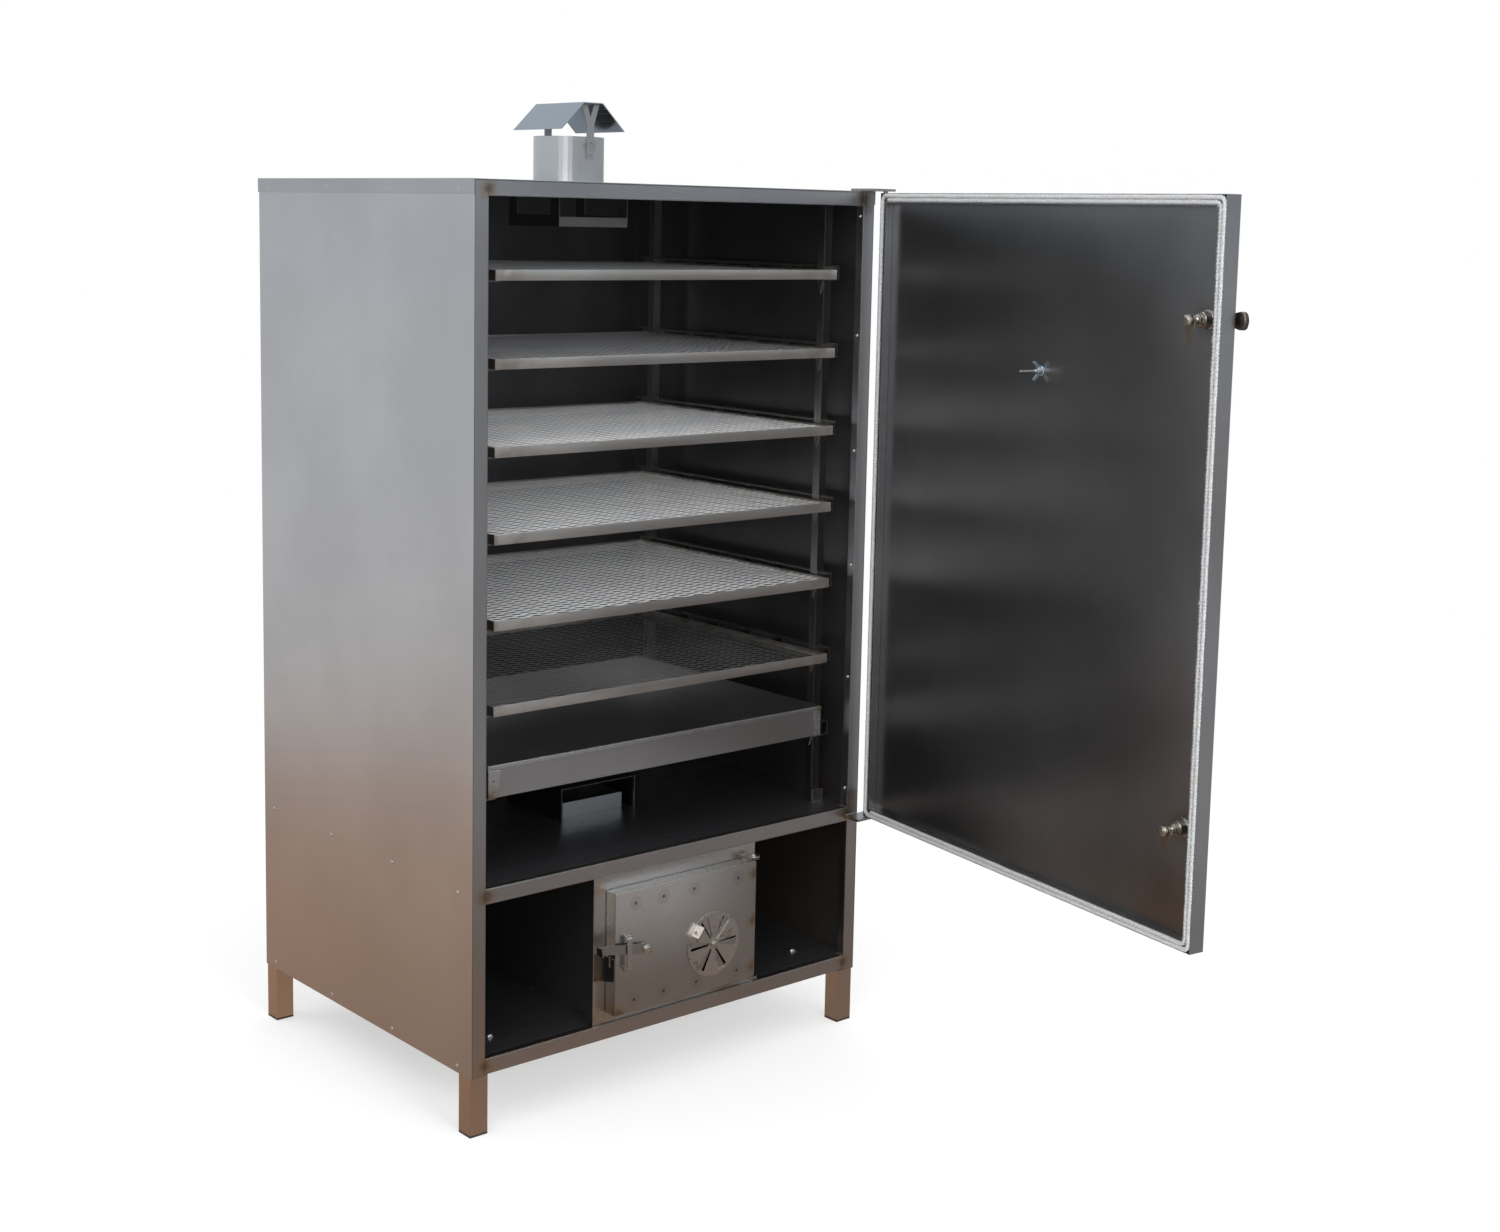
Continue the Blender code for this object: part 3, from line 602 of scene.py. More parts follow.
LADDER_HALF, FRONT, BETWEEN = 0.437, 0.1996, 0.562
gussets = bmesh.new()
tacks = bmesh.new()
tack = [(0.0036, 0.0), (0.0030, 0.0012), (0.0015, 0.0018), (0, 0.0020)]
levels = [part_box(node)[0].z for node in [f"rack_{n}" for n in range(1, 7)] + ["drip_tray"]]
for sign in (-1, 1):
    face = LADDER_HALF * sign + CENTRE_X
    for level in levels:
        z = level - 0.0025
        outline = [
            (face, FRONT - 0.001, z - 0.001),
            (face, FRONT + 0.021, z - 0.001),
            (face, FRONT + 0.010, z - 0.030),
        ]
        cut_out(gussets, outline, (-sign * 0.0015, 0, 0))
        for y in (FRONT, FRONT + BETWEEN):
            turned(tacks, tack, (face, y + 0.004, z - 0.004), (-sign, 0, 0), 10)
            bead(tacks, (face, y + 0.001, z), (face, y + 0.019, z), 0.0034)
    x0, x1 = sorted((face - sign * 0.0018, face + sign * 0.030))
    for y in (FRONT, FRONT + BETWEEN):
        foot, top = (x0, y - 0.006, shelf_top + 0.0003), (x1, y - 0.0004, shelf_top + 0.026)
        block(gussets, foot, top, 0.0006)
        y -= 0.006
        bead(tacks, (x0 + 0.002, y, shelf_top), (x1 - 0.002, y, shelf_top), 0.0034)
clip_look = brushed("gusset_sheet", (0.58, 0.57, 0.55), 0.30, wave=0.0)
made_piece("ladder_gussets", "cabinet", gussets, clip_look, smooth=False)
made_piece("ladder_tacks", "cabinet", tacks, weld_look)

# --- Racks ---
# Six racks: an angle frame folded from 2 mm strip, mitred and welded at the corners, with a sheet
# of expanded metal tacked inside it. On three racks the strands lean forward and the mesh is
# painted bright as painted light; on the other three the strands lean back and the mesh is painted
# darker as painted shade.

LONG, SHORT, STRAND, PLY = 0.0590, 0.0205, 0.0034, 0.0006
TILT = {1: 0.0002, -1: -0.0008}


def diamonds(mesh, low, high, z, lean):
    """Expanded metal between two corners. Its strands lean forward (1) or back (-1)."""
    across = round((high.x - low.x) / LONG)
    deep = round((high.y - low.y) / SHORT)
    a, b = (high.x - low.x) / across / 2, (high.y - low.y) / deep / 2
    hole_a, hole_b = a - STRAND * 1.05, b - STRAND * 0.50
    verts = {}

    def vert(point, lift):
        x, y, rise = point
        key = (round(x * 1e5), round(y * 1e5), round((z + rise + lift) * 1e6))
        if key not in verts:
            verts[key] = mesh.verts.new((x, y, z + rise + lift))
        return verts[key]

    def within(point):
        return all(low[i] - 1e-6 <= point[i] <= high[i] + 1e-6 for i in (0, 1))

    for row in range(2 * deep + 1):
        for column in range(across + 1 - row % 2):
            x = low.x + a * (2 * column + row % 2)
            y = low.y + b * row
            tips = ((-1, 0), (0, -1), (1, 0), (0, 1))
            rim = [(x + a * dx, y + b * dy, 0.0) for dx, dy in tips]
            hole = [(x + hole_a * dx, y + hole_b * dy, -TILT[lean] * dy) for dx, dy in tips]
            for i in range(4):
                j = (i + 1) % 4
                quad = [rim[i], rim[j], hole[j], hole[i]]
                if not all(within(point) for point in quad):
                    continue
                top = [vert(point, PLY / 2) for point in quad]
                under = [vert(point, -PLY / 2) for point in quad]
                mesh.faces.new(top)
                mesh.faces.new(under[::-1])
                mesh.faces.new((top[2], under[2], under[3], top[3]))


rack_low, rack_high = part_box("rack_1")
STRIP, FLANGE, SEAT, SEAT_PLY = 0.0020, 0.015, 0.0074, 0.0016
lx, ly, lz = rack_low
hx, hy, hz = rack_high
seat, foot = hz - SEAT, hz - SEAT - SEAT_PLY
angle = bmesh.new()
for start, end in (
    ((lx, ly, lz), (hx, ly + STRIP, hz)),
    ((lx, hy - STRIP, lz), (hx, hy, hz)),
    ((lx, ly + STRIP, lz), (lx + STRIP, hy - STRIP, hz)),
    ((hx - STRIP, ly + STRIP, lz), (hx, hy - STRIP, hz)),
    ((lx + STRIP, ly + STRIP, foot), (hx - STRIP, ly + FLANGE, seat)),
    ((lx + STRIP, hy - FLANGE, foot), (hx - STRIP, hy - STRIP, seat)),
    ((lx + STRIP, ly + FLANGE, foot), (lx + FLANGE, hy - FLANGE, seat)),
    ((hx - FLANGE, ly + FLANGE, foot), (hx - STRIP, hy - FLANGE, seat)),
):
    block(angle, start, end, 0.0005)
for x in (lx + 0.001, hx - 0.001):
    for y in (ly + 0.001, hy - 0.001):
        bead(angle, (x, y, lz + 0.002), (x, y, hz - 0.002), 0.0022)


def rack_finish(name, colour, roughness, stain, metal=1.0):
    """Bare mild-bright stainless with smears of weld stain near the corners."""
    made, place, shader = finish(name, {"Metallic": metal})
    smear = place.stretched(7.0, 9.0, 30.0).noise(1.0, 4.0, 0.6)
    grain = place.stretched(18.0, 260.0, 700.0).noise(1.0, 3.0, 0.6)
    base = smear.rise(0.35, 0.70).mixed(shade(colour, 0.92), shade(colour, 1.06))
    corner = abs(place.along("X") - CENTRE_X).rise(0.30, 0.43)
    stained = (corner * place.noise(22.0, 4.0).rise(0.40, 0.62)) * 0.55
    wired(
        shader,
        base_color=stained.mixed(base, stain),
        roughness=grain * 0.16 + roughness,
        normal=(grain * 0.00006).relief(0.0005),
    )
    return made


strip_look = rack_finish("rack_strip", (0.66, 0.63, 0.59), 0.26, (0.34, 0.26, 0.19))
SHADED_RACK_GREY, SHADED_RACK_STAIN = (0.50, 0.50, 0.505), (0.42, 0.39, 0.35)
# Lit and shaded copies of one mesh finish: the first is painted light, the second painted shade.
looks = {
    1: rack_finish("rack_mesh", (0.96, 0.975, 1.0), 0.40, (0.66, 0.63, 0.60), 0.35),
    -1: rack_finish("rack_mesh_shaded", SHADED_RACK_GREY, 0.30, SHADED_RACK_STAIN, 0.95),
}
MESH_DROP, GAP = 0.0042, 0.0002
inset = Vector((STRIP + GAP, STRIP + GAP, 0))
for number, lean in enumerate((-1, -1, 1, 1, 1, -1), 1):
    rack = f"rack_{number}"
    drop = Vector((0, 0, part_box(rack)[1].z - hz))
    panel = bmesh.new()
    diamonds(panel, rack_low + inset, rack_high - inset, hz + drop.z - MESH_DROP, lean)
    steel = angle.copy()
    bmesh.ops.translate(steel, vec=drop, verts=steel.verts)
    made_piece(f"{rack}_mesh", rack, panel, looks[lean], rack, smooth=False)
    made_piece(f"{rack}_frame", rack, steel, strip_look, rack)
angle.free()

# --- Drip tray ---
# A deep tray folded from one sheet. The rim is hemmed outwards, and the corners are lapped over
# the front and tack welded.

tray_low, tray_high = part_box("drip_tray")
tray_sheet = brushed("tray_sheet", (0.50, 0.495, 0.49), 0.30, "X", wave=0.0003, metal=0.99)
dress(tray_sheet, "drip_tray")
hem = bmesh.new()
PAD, HEM = 0.0009, 0.0007
x0, x1, y0, y1 = tray_low.x - PAD, tray_high.x + PAD, tray_low.y - PAD, tray_high.y + PAD
for ax, ay, bx, by in ((x0, y0, x1, y0), (x1, y0, x1, y1), (x0, y1, x1, y1), (x0, y0, x0, y1)):
    low = (ax - HEM, ay - HEM, tray_high.z - 0.0085)
    block(hem, low, (bx + HEM, by + HEM, tray_high.z - 0.0001), 0.0006)
SHEET = 0.0012
foot, top = tray_low.z + 0.0005, tray_high.z - 0.010
ends = ((tray_low.x, 1, 0.030), (tray_high.x, -1, 0.020))
for edge, sign, reach in ends:
    y = tray_low.y - SHEET
    slant = edge + sign * reach * 0.72
    outline = [(edge, y, foot), (slant, y, foot), (edge + sign * reach, y, top), (edge, y, top)]
    cut_out(hem, outline, (0, SHEET, 0))
tray_marks = [((tray_low.x, tray_low.y, tray_low.z), 0.035)]
tray_marks.append(((tray_high.x, tray_low.y, tray_high.z), 0.025))
# The hem is painted lighter than the tray's own sheet, as a painted highlight along the rim.
HEM_HIGHLIGHT_STEEL = (0.66, 0.655, 0.645)
hem_look = brushed("tray_hem", HEM_HIGHLIGHT_STEEL, 0.28, "X", tints=tray_marks, wave=0.0005, edge=0.0025)
made_piece("tray_hem_and_laps", "drip_tray", hem, hem_look, smooth=False)
spots = bmesh.new()
crater = [(0.0030, 0.0), (0.0024, 0.0006), (0.0010, 0.0004), (0, 0.0003)]
for edge, sign, _ in ends:
    for z in (tray_low.z + 0.012, tray_low.z + 0.034):
        turned(spots, crater, (edge + sign * 0.012, tray_low.y - SHEET, z), (0, -1, 0), 12)
made_piece("tray_tacks", "drip_tray", spots, weld_look)

# --- Firebox ---
# A box of 3 mm sheet with a front plate, welded to the floor. The plate carries two hinge lugs
# and the keeper. Its foot is browned by the first firing.

plate_low, plate_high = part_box("firebox_front")
left_x, right_x, front_y = plate_low.x, plate_high.x, plate_low.y
foot_z, top_z = plate_low.z, plate_high.z
burns = [
    ((left_x + 0.02, front_y, foot_z + 0.01), 0.060),
    ((left_x + 0.01, front_y, top_z - 0.015), 0.045),
    ((right_x - 0.08, front_y, foot_z + 0.005), 0.070),
    ((0.0, front_y, foot_z), 0.045),
    ((left_x + 0.10, front_y, top_z), 0.035),
    ((right_x - 0.03, front_y, top_z - 0.02), 0.040),
]
PLATE_STEEL = (0.60, 0.585, 0.565)
plate_look = brushed("firebox_plate", PLATE_STEEL, 0.28, "X", tints=burns, wave=0.0009, edge=0.002)
dress(plate_look, "firebox_front")
box_look = brushed("firebox_sheet", (0.21, 0.208, 0.205), 0.36, "X", wave=0.0008, metal=0.94)
dress(box_look, "firebox_body")
box_low, box_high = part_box("firebox_body")
LUG_EDGES, LUG_LEFT, LUG_RIGHT = (0.170, 0.1742, 0.4298, 0.434), 0.1715, 0.1855
firebox_beads = bmesh.new()
for x in (box_low.x, box_high.x):
    for i in range(5):
        y = box_low.y + 0.03 + i * 0.11
        bead(firebox_beads, (x, y, box_low.z), (x, y + 0.024, box_low.z), 0.0040)
y = plate_high.y + 0.0006
for z in (foot_z + 0.035, foot_z + 0.13, top_z - 0.05):
    for x in (box_low.x, box_high.x):
        bead(firebox_beads, (x, y, z), (x, y, z + 0.03), 0.0034)
for z in LUG_EDGES:
    bead(firebox_beads, (LUG_LEFT, front_y, z), (LUG_RIGHT, front_y, z), 0.0034)
made_piece("firebox_welds", "cabinet", firebox_beads, weld_look)

# --- Firebox hinge and keeper ---
# A 6 mm bright rod with a washer welded on its top end drops through lugs and door tube. The
# keeper is a notched plate on the left edge of the front plate.

fitting = brushed("fitting_steel", (0.60, 0.585, 0.56), 0.24, wave=0.0)
pin_low, pin_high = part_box("firebox_hinge_pin")
pin_at = (pin_low + pin_high) / 2
end = pin_high.z - pin_low.z
profile = [(0, 0), (0.0022, 0), (0.0030, 0.0008), (0.0030, end - 0.0056), (0.0122, end - 0.0056)]
profile += [(0.0130, end - 0.0048), (0.0130, end - 0.0030), (0.0122, end - 0.0022)]
profile += [(0.0048, end - 0.0020), (0.0040, end - 0.0004), (0.0018, end), (0, end)]
hinge_rod = bmesh.new()
turned(hinge_rod, profile, (pin_at.x, pin_at.y, pin_low.z), (0, 0, 1), 24)
made_piece("firebox_hinge_rod", "cabinet", hinge_rod, fitting, "firebox_hinge_pin")
keeper_low, keeper_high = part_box("latch_keeper")
weld_at = [((keeper_low.x, keeper_high.y, keeper_low.z), 0.03)]
dress(brushed("keeper_plate", (0.33, 0.315, 0.30), 0.30, tints=weld_at, wave=0.0), "latch_keeper")

# --- Firebox door ---
# A shallow pan folded from 1.5 mm sheet. Eight spot welds hold the lining behind it, each a grey
# dimple with a heat ring. The hinge tube is welded down its right edge.

pan_low, pan_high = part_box("firebox_door")
FACE = pan_low.y
TOP_ROW, FOOT_ROW = 0.3997, 0.2007
dimples = [(x, FACE, TOP_ROW) for x in (-0.1394, -0.0685, 0.0110, 0.1285)]
dimples += [(x, FACE, FOOT_ROW) for x in (-0.1410, -0.0655, 0.0202, 0.1288)]


def overlaid(look):
    """A look's place, shader and base colour so far, to lay more on it."""
    shader = look.node_tree.nodes["Principled BSDF"]
    place = Feed(look.node_tree).node("ShaderNodeTexCoord", out="Object")
    return place, shader, Feed(look.node_tree, shader.inputs["Base Color"].links[0].from_socket)


hot = [((pan_high.x - 0.012, FACE, z), 0.022) for z in (0.20, 0.30, 0.40)]
hot.append(((pan_low.x + 0.01, FACE, pan_low.z), 0.030))
PAN_STEEL = (0.46, 0.435, 0.41)
pan_look = brushed("firebox_door_sheet", PAN_STEEL, 0.27, "X", tints=hot, wave=0.0006, edge=0.0035)
place, shader, base = overlaid(pan_look)
# Painted highlight: the pan's upper left is painted near white, a glare of light on the sheet.
painted_glare = place.along("Z").rise(0.22, 0.43) * (1.0 - place.along("X").rise(-0.06, 0.20))
base = (painted_glare * 0.85).mixed(base, (0.98, 0.99, 1.0))
REACH = 0.0072
for spot in dimples:
    near = place.far(spot) + (place.noise(300.0) - 0.5) * REACH * 0.3
    dent = 1.0 - near.rise(REACH * 0.35, REACH * 0.75)
    base = (dent * 0.78).mixed(base, (0.10, 0.085, 0.075))
    ring = near.rise(REACH * 0.8, REACH * 1.2) * (1.0 - near.rise(REACH * 1.4, REACH * 2.6))
    base = (ring * 0.22).mixed(base, (0.30, 0.22, 0.16))
wired(shader, base_color=base)
dress(pan_look, "firebox_door")

# --- Air disc ---
# A turning disc with six wedge-shaped openings over six in the door, which they clear by a
# sliver. A tab bent from its rim turns it on a domed nut. It is smudged with sooty finger marks.

disc_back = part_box("air_disc")[1].y
bolt_low, bolt_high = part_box("air_disc_bolt")
hub_x, hub_z = (bolt_low.x + bolt_high.x) / 2, (bolt_low.z + bolt_high.z) / 2
soot = brushed("air_disc_sheet", (0.66, 0.62, 0.58), 0.22, "X", wave=0.0009, edge=0.0015)
place, shader, base = overlaid(soot)
prints = place.stretched(60.0, 60.0, 110.0).noise(1.0, 2.0, 0.4).rise(0.60, 0.72)
wired(shader, base_color=(prints * 0.55).mixed(base, (0.15, 0.125, 0.11)))
dress(soot, "air_disc")


def bar(mesh, radius, length, at, facing, sides=16):
    """A plain round bar with flat ends."""
    turned(mesh, [(0, 0), (radius, 0), (radius, length), (0, length)], at, facing, sides)


def hexagon(mesh, at, facing, across, depth, turn=0.0):
    """A hexagon nut or head with chamfered corners, standing on its face."""
    narrow = math.cos(math.pi / 6)
    corner, chamfer = across / 2 / narrow, across * 0.045
    quat = Vector(facing).to_track_quat("Z", "Y")
    levels = ((0.0, True), (chamfer, False), (depth - chamfer, False), (depth, True))
    rings = []
    for height, chamfered in levels:
        ring = []
        for i in range(24):
            a = 2 * math.pi * i / 24 + turn
            off_flat = (i % 4) * math.pi / 12 - math.pi / 6
            r = across * 0.47 if chamfered else corner * narrow / math.cos(off_flat)
            spot = Vector((r * math.cos(a), r * math.sin(a), height))
            ring.append(mesh.verts.new(Vector(at) + quat @ spot))
        rings.append(ring)
    joined(mesh, rings)


def washer(mesh, at, facing, radius, depth):
    profile = [(0, 0), (radius * 0.96, 0), (radius, depth * 0.3), (radius, depth * 0.7)]
    turned(mesh, profile + [(radius * 0.94, depth), (0, depth)], at, facing, 28)


OUT = (0, -1, 0)
HEX = 0.0128
cap_nut = bmesh.new()
y = disc_back - 0.0018
washer(cap_nut, (hub_x, y, hub_z), OUT, 0.0085, 0.0008)
hexagon(cap_nut, (hub_x, y - 0.0008, hub_z), OUT, HEX, 0.0026, 0.3)
dome = [(0.0058, 0), (0.0054, 0.0010), (0.0040, 0.0018), (0.0020, 0.0022), (0, 0.0023)]
turned(cap_nut, dome, (hub_x, y - 0.0032, hub_z), OUT, 20)
bar(cap_nut, 0.0038, 0.010, (hub_x, bolt_high.y, hub_z), OUT)
hexagon(cap_nut, (hub_x, bolt_high.y - 0.0012, hub_z), OUT, HEX, 0.0042, 0.1)


def plated(name, clean, dull, patches, roughness, edge):
    """A plated finish that blooms dull in patches of a (scale, detail, start, end)."""
    made, place, shader = finish(name, {"Metallic": 1.0})
    scale, detail, start, end = patches
    bloom = place.noise(scale, detail, 0.6).rise(start, end)
    smoothest, added = roughness
    wired(
        shader,
        base_color=bloom.mixed(clean, dull),
        roughness=bloom * added + smoothest,
        normal=place.rounded(edge),
    )
    return made


ZINC, DULL_ZINC = (0.66, 0.63, 0.58), (0.50, 0.43, 0.33)
zinc = plated("zinc_plate", ZINC, DULL_ZINC, (180.0, 4.0, 0.35, 0.7), (0.16, 0.18), 0.0004)
made_piece("air_disc_cap_nut", "firebox_door", cap_nut, zinc, "air_disc_bolt")

# --- Firebox latch ---
# A flat lever with a bent end turns on a shouldered bolt, runs through a bent strip loop and
# drops into the keeper.

lever_low, lever_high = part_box("firebox_latch_lever")
hot = [((lever_high.x, lever_low.y, lever_high.z), 0.02)]
lever_look = brushed("lever_strip", (0.46, 0.435, 0.40), 0.26, grain="X", tints=hot, wave=0.0)
dress(lever_look, "firebox_latch_lever")
bolt_low, bolt_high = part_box("latch_pivot_bolt")
bolt_x, bolt_z = (bolt_low.x + bolt_high.x) / 2, (bolt_low.z + bolt_high.z) / 2
LEVER_FACE = 0.0811
bolt = bmesh.new()
washer(bolt, (bolt_x, FACE - 0.0004, bolt_z), OUT, 0.0100, 0.0016)
turned(bolt, [(0.0072, 0), (0.0072, 0.0048)], (bolt_x, FACE - 0.0018, bolt_z), OUT, 24)
shank = bolt_high.y - bolt_low.y - 0.002
bar(bolt, 0.0039, shank, (bolt_x, bolt_high.y, bolt_z), OUT)
hexagon(bolt, (bolt_x, bolt_high.y - 0.0012, bolt_z), OUT, HEX, 0.0044, 0.2)
washer(bolt, (bolt_x, LEVER_FACE, bolt_z), OUT, 0.0098, 0.0012)
head = [(0, 0), (0.0078, 0), (0.0082, 0.0006), (0.0080, 0.0022), (0.0062, 0.0040)]
head += [(0.0036, 0.0048), (0.0032, 0.0034), (0, 0.0034)]
turned(bolt, head, (bolt_x, LEVER_FACE - 0.0013, bolt_z), OUT, 24)
made_piece("latch_shoulder_bolt", "firebox_door", bolt, zinc, "latch_pivot_bolt")

loop_low, loop_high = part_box("lever_guide_loop")
BEND, HALF_PLY = 0.007, 0.0011
front_y = loop_low.y + 0.0012
back_y = FACE - 0.0006
top, foot = loop_high.z - 0.0014, loop_low.z + 0.0014
quarter = [math.pi / 2 * i / 6 for i in range(7)]
path = [(back_y, top)]
for a in quarter:
    path.append((front_y + BEND - BEND * math.sin(a), top - BEND + BEND * math.cos(a)))
for a in quarter:
    path.append((front_y + BEND - BEND * math.cos(a), foot + BEND - BEND * math.sin(a)))
path.append((back_y, foot))
strap = bmesh.new()
rings = []
for i, (y, z) in enumerate(path):
    before, after = path[max(i - 1, 0)], path[min(i + 1, len(path) - 1)]
    step = Vector((after[0] - before[0], after[1] - before[1])).normalized()
    aside = Vector((-step.y, step.x)) * HALF_PLY
    ring = []
    for x, w in ((loop_low.x, 1), (loop_high.x, 1), (loop_high.x, -1), (loop_low.x, -1)):
        ring.append(strap.verts.new((x, y + aside.x * w, z + aside.y * w)))
    rings.append(ring)
joined(strap, rings)
made_piece("lever_loop_strip", "firebox_door", strap, fitting, "lever_guide_loop")
TUBE_TACKS = (0.196, 0.290, 0.390)
door_beads = bmesh.new()
x0, x1, y = loop_low.x + 0.001, loop_high.x - 0.001, FACE - 0.0004
for z in (top, foot):
    bead(door_beads, (x0, y, z), (x1, y, z), 0.0040)
x, y = pan_high.x - 0.0065, FACE + 0.0035
for z in TUBE_TACKS:
    bead(door_beads, (x, y, z), (x, y, z + 0.020), 0.0036)
made_piece("firebox_door_welds", "firebox_door", door_beads, weld_look)

# --- Main door hinges ---
# Two plates with pins, one welded over the lid's corner and one to the right post, browned by
# the welding.

for name in ("top", "bottom"):
    low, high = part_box(f"door_hinge_{name}")
    hot = [((low.x + 0.010, high.y, (low.z + high.z) / 2), 0.030)]
    hot.append(((low.x, low.y + 0.02, low.z), 0.02))
    look = brushed(f"{name}_hinge_plate", (0.50, 0.48, 0.46), 0.28, "X", tints=hot, wave=0.0)
    dress(look, f"door_hinge_{name}")
hinge_beads = bmesh.new()
low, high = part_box("door_hinge_top")
z = lid_top + 0.0003
bead(hinge_beads, (low.x, low.y + 0.042, z), (low.x, high.y - 0.002, z), 0.0044)
bead(hinge_beads, (low.x + 0.002, high.y, z), (low.x + 0.034, high.y, z), 0.0044)
low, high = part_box("door_hinge_bottom")
y = high.y - 0.0004
for z in (low.z, low.z + 0.005):
    bead(hinge_beads, (low.x + 0.002, y, z), (low.x + 0.034, y, z), 0.0044)
made_piece("door_hinge_welds", "cabinet", hinge_beads, weld_look)

# --- Main door ---
# An outer pan and a recessed inner panel of stainless sheet with wool between. The pan's edge
# folds in to a channel for the rope. It is made shut, and stands open, turned about its pins.

OPENING = math.radians(81.5)
swing = next(joint for joint in frame["joints"] if joint["name"] == "main_door_hinge")
pin = Vector(swing["pos_m"])
pin.z = 0.0
OPEN = Matrix.Translation(pin) @ Matrix.Rotation(OPENING, 4, "Z") @ Matrix.Translation(-pin)
SHUT = OPEN.inverted()


def shut_box(node):
    """A door node's lowest and highest corners with the door swung shut."""
    corners = [SHUT @ vert.co for vert in frame["nodes"][node].data.vertices]
    low = Vector((min(c[i] for c in corners) for i in range(3)))
    high = Vector((max(c[i] for c in corners) for i in range(3)))
    return low, high


def door_piece(name, mesh, look, stands_for=None, smooth=True, body="main_door"):
    """A piece made on the shut door, then swung open with it."""
    made_piece(name, body, mesh, look, stands_for, smooth, OPEN)


def door_sheet(name, colour, roughness, spots=()):
    """Door sheet: upright grain, long soft waves from folding, and rubs from handling."""
    made, place, shader = finish(name, {"Metallic": 1.0})
    lines = grained(place, 650.0, 8.0, "Z", 0.6)
    clouds = place.noise(2.6, 4.0, 0.55)
    base = clouds.rise(0.3, 0.7).mixed(shade(colour, 0.88), shade(colour, 1.10))
    base = (lines.rise(0.25, 0.75) * 0.35).mixed(base, shade(colour, 0.78))
    for point, reach in spots:
        near = place.far(point) + (place.noise(40.0, 3.0) - 0.5) * reach * 0.6
        stain = 1.0 - near.rise(reach * 0.2, reach)
        base = (stain * 0.5).mixed(base, (0.20, 0.15, 0.115))
    sag = place.stretched(1.6, 1.6, 3.4).noise(1.0, 1.0, 0.4)
    height = sag * 0.006 + lines * 0.00004 + place.noise(14.0, 2.0) * 0.00035
    wired(
        shader,
        base_color=base,
        roughness=roughness + (lines - 0.5) * 0.08 + (clouds - 0.5) * 0.06,
        normal=height.relief(0.0012),
    )
    return made


skin_low, skin_high = shut_box("door_outer")
inner_low, inner_high = shut_box("door_inner_panel")
latches = {name: shut_box(f"latch_sleeve_{name}") for name in ("upper", "lower")}
marked = [((low.x + high.x) / 2, (low.z + high.z) / 2, 0.045) for low, high in latches.values()]
marked.append((inner_low.x + 0.06, inner_low.z + 0.03, 0.16))
stains = [(tuple(OPEN @ Vector((x, inner_high.y, z))), reach) for x, z, reach in marked]
# The lining is painted darker than the door's outer skin, as painted shade on the inner face.
dress(door_sheet("door_lining", (0.31, 0.308, 0.312), 0.30, stains), "door_inner_panel")
dress(door_sheet("door_skin", (0.50, 0.505, 0.515), 0.28), "door_outer")
wool, place, shader = finish("mineral_wool", {"Roughness": 1.0})
fluff = place.stretched(60.0, 60.0, 300.0).noise(1.0, 5.0, 0.7)
woolly = fluff.mixed((0.42, 0.34, 0.20), (0.66, 0.58, 0.42))
wired(shader, base_color=woolly, normal=(fluff * 0.004).relief())
dress(wool, "door_wool")

# --- Rope gasket ---
# Two braided white glass-fibre ropes lie side by side in the rim channel, glued in and butted at
# the corners. The braid is lumpy, with broken fibres that stand off it.

rope_low, rope_high = shut_box("door_gasket")
ROPE_EVEN = {"Roughness": 0.92, "Sheen Weight": 0.35, "Sheen Roughness": 0.6}
rope_look, place, shader = finish("glass_rope", ROPE_EVEN)
yarn = place.noise(420.0, 4.0, 0.6)
grime = place.noise(26.0, 4.0, 0.6).rise(0.52, 0.78)
base = yarn.rise(0.25, 0.75).mixed((0.24, 0.245, 0.25), (0.60, 0.61, 0.625))
base = (grime * 0.35).mixed(base, (0.38, 0.33, 0.27))
wired(shader, base_color=base, normal=(yarn * 0.0012).relief())
CORNER, STEP, ROPE_SIDES = 0.012, 0.0016, 10


def rope_run(mesh, inset, depth, radius, phase, whole):
    """One rope round the rim, with its chain of stitches and a slight wander.

    A rope that isn't whole leaves out the hinge side.
    """
    x0, x1 = rope_low.x + inset + CORNER, rope_high.x - inset - CORNER
    z0, z1 = rope_low.z + inset + CORNER, rope_high.z - inset - CORNER
    line = []
    for x, z, start in ((x1, z1, 0), (x0, z1, 90), (x0, z0, 180), (x1, z0, 270)):
        for i in range(7):
            a = math.radians(start + 15 * i)
            line.append(Vector((x + CORNER * math.cos(a), 0, z + CORNER * math.sin(a))))
    if not whole:
        line = line[6:-6]
    dense = []
    for one, two in zip(line, line[1:] + (line[:1] if whole else [])):
        count = max(1, round((two - one).length / STEP))
        dense += [one.lerp(two, i / count) for i in range(count)]
    total = len(dense)
    rings = []
    for i, spot in enumerate(dense):
        after = dense[(i + 1) % total] if whole or i + 1 < total else spot
        before = dense[i - 1] if whole or i else spot
        ahead = (after - before).normalized()
        out = Vector((ahead.z, 0, -ahead.x))
        wander = cloud.noise(Vector((i * 0.030, phase, 0.0))) * 0.0008
        lift = cloud.noise(Vector((i * 0.04, phase + 9.0, 0.0))) * 0.0004
        ring = []
        for k in range(ROPE_SIDES):
            a = 2 * math.pi * k / ROPE_SIDES + math.pi / ROPE_SIDES
            stitch = math.sin(i * 1.55 + phase + 2.6 * abs(math.cos(a)))
            lump = cloud.noise(Vector((i * 0.5, k * 1.7, phase)))
            r = radius * (0.90 + 0.13 * stitch + 0.05 * lump)
            at = spot + out * (r * math.cos(a) + wander)
            ring.append(mesh.verts.new((at.x, depth + r * math.sin(a) + lift, at.z)))
        rings.append(ring)
    joined(mesh, rings, loop=whole)
    return dense


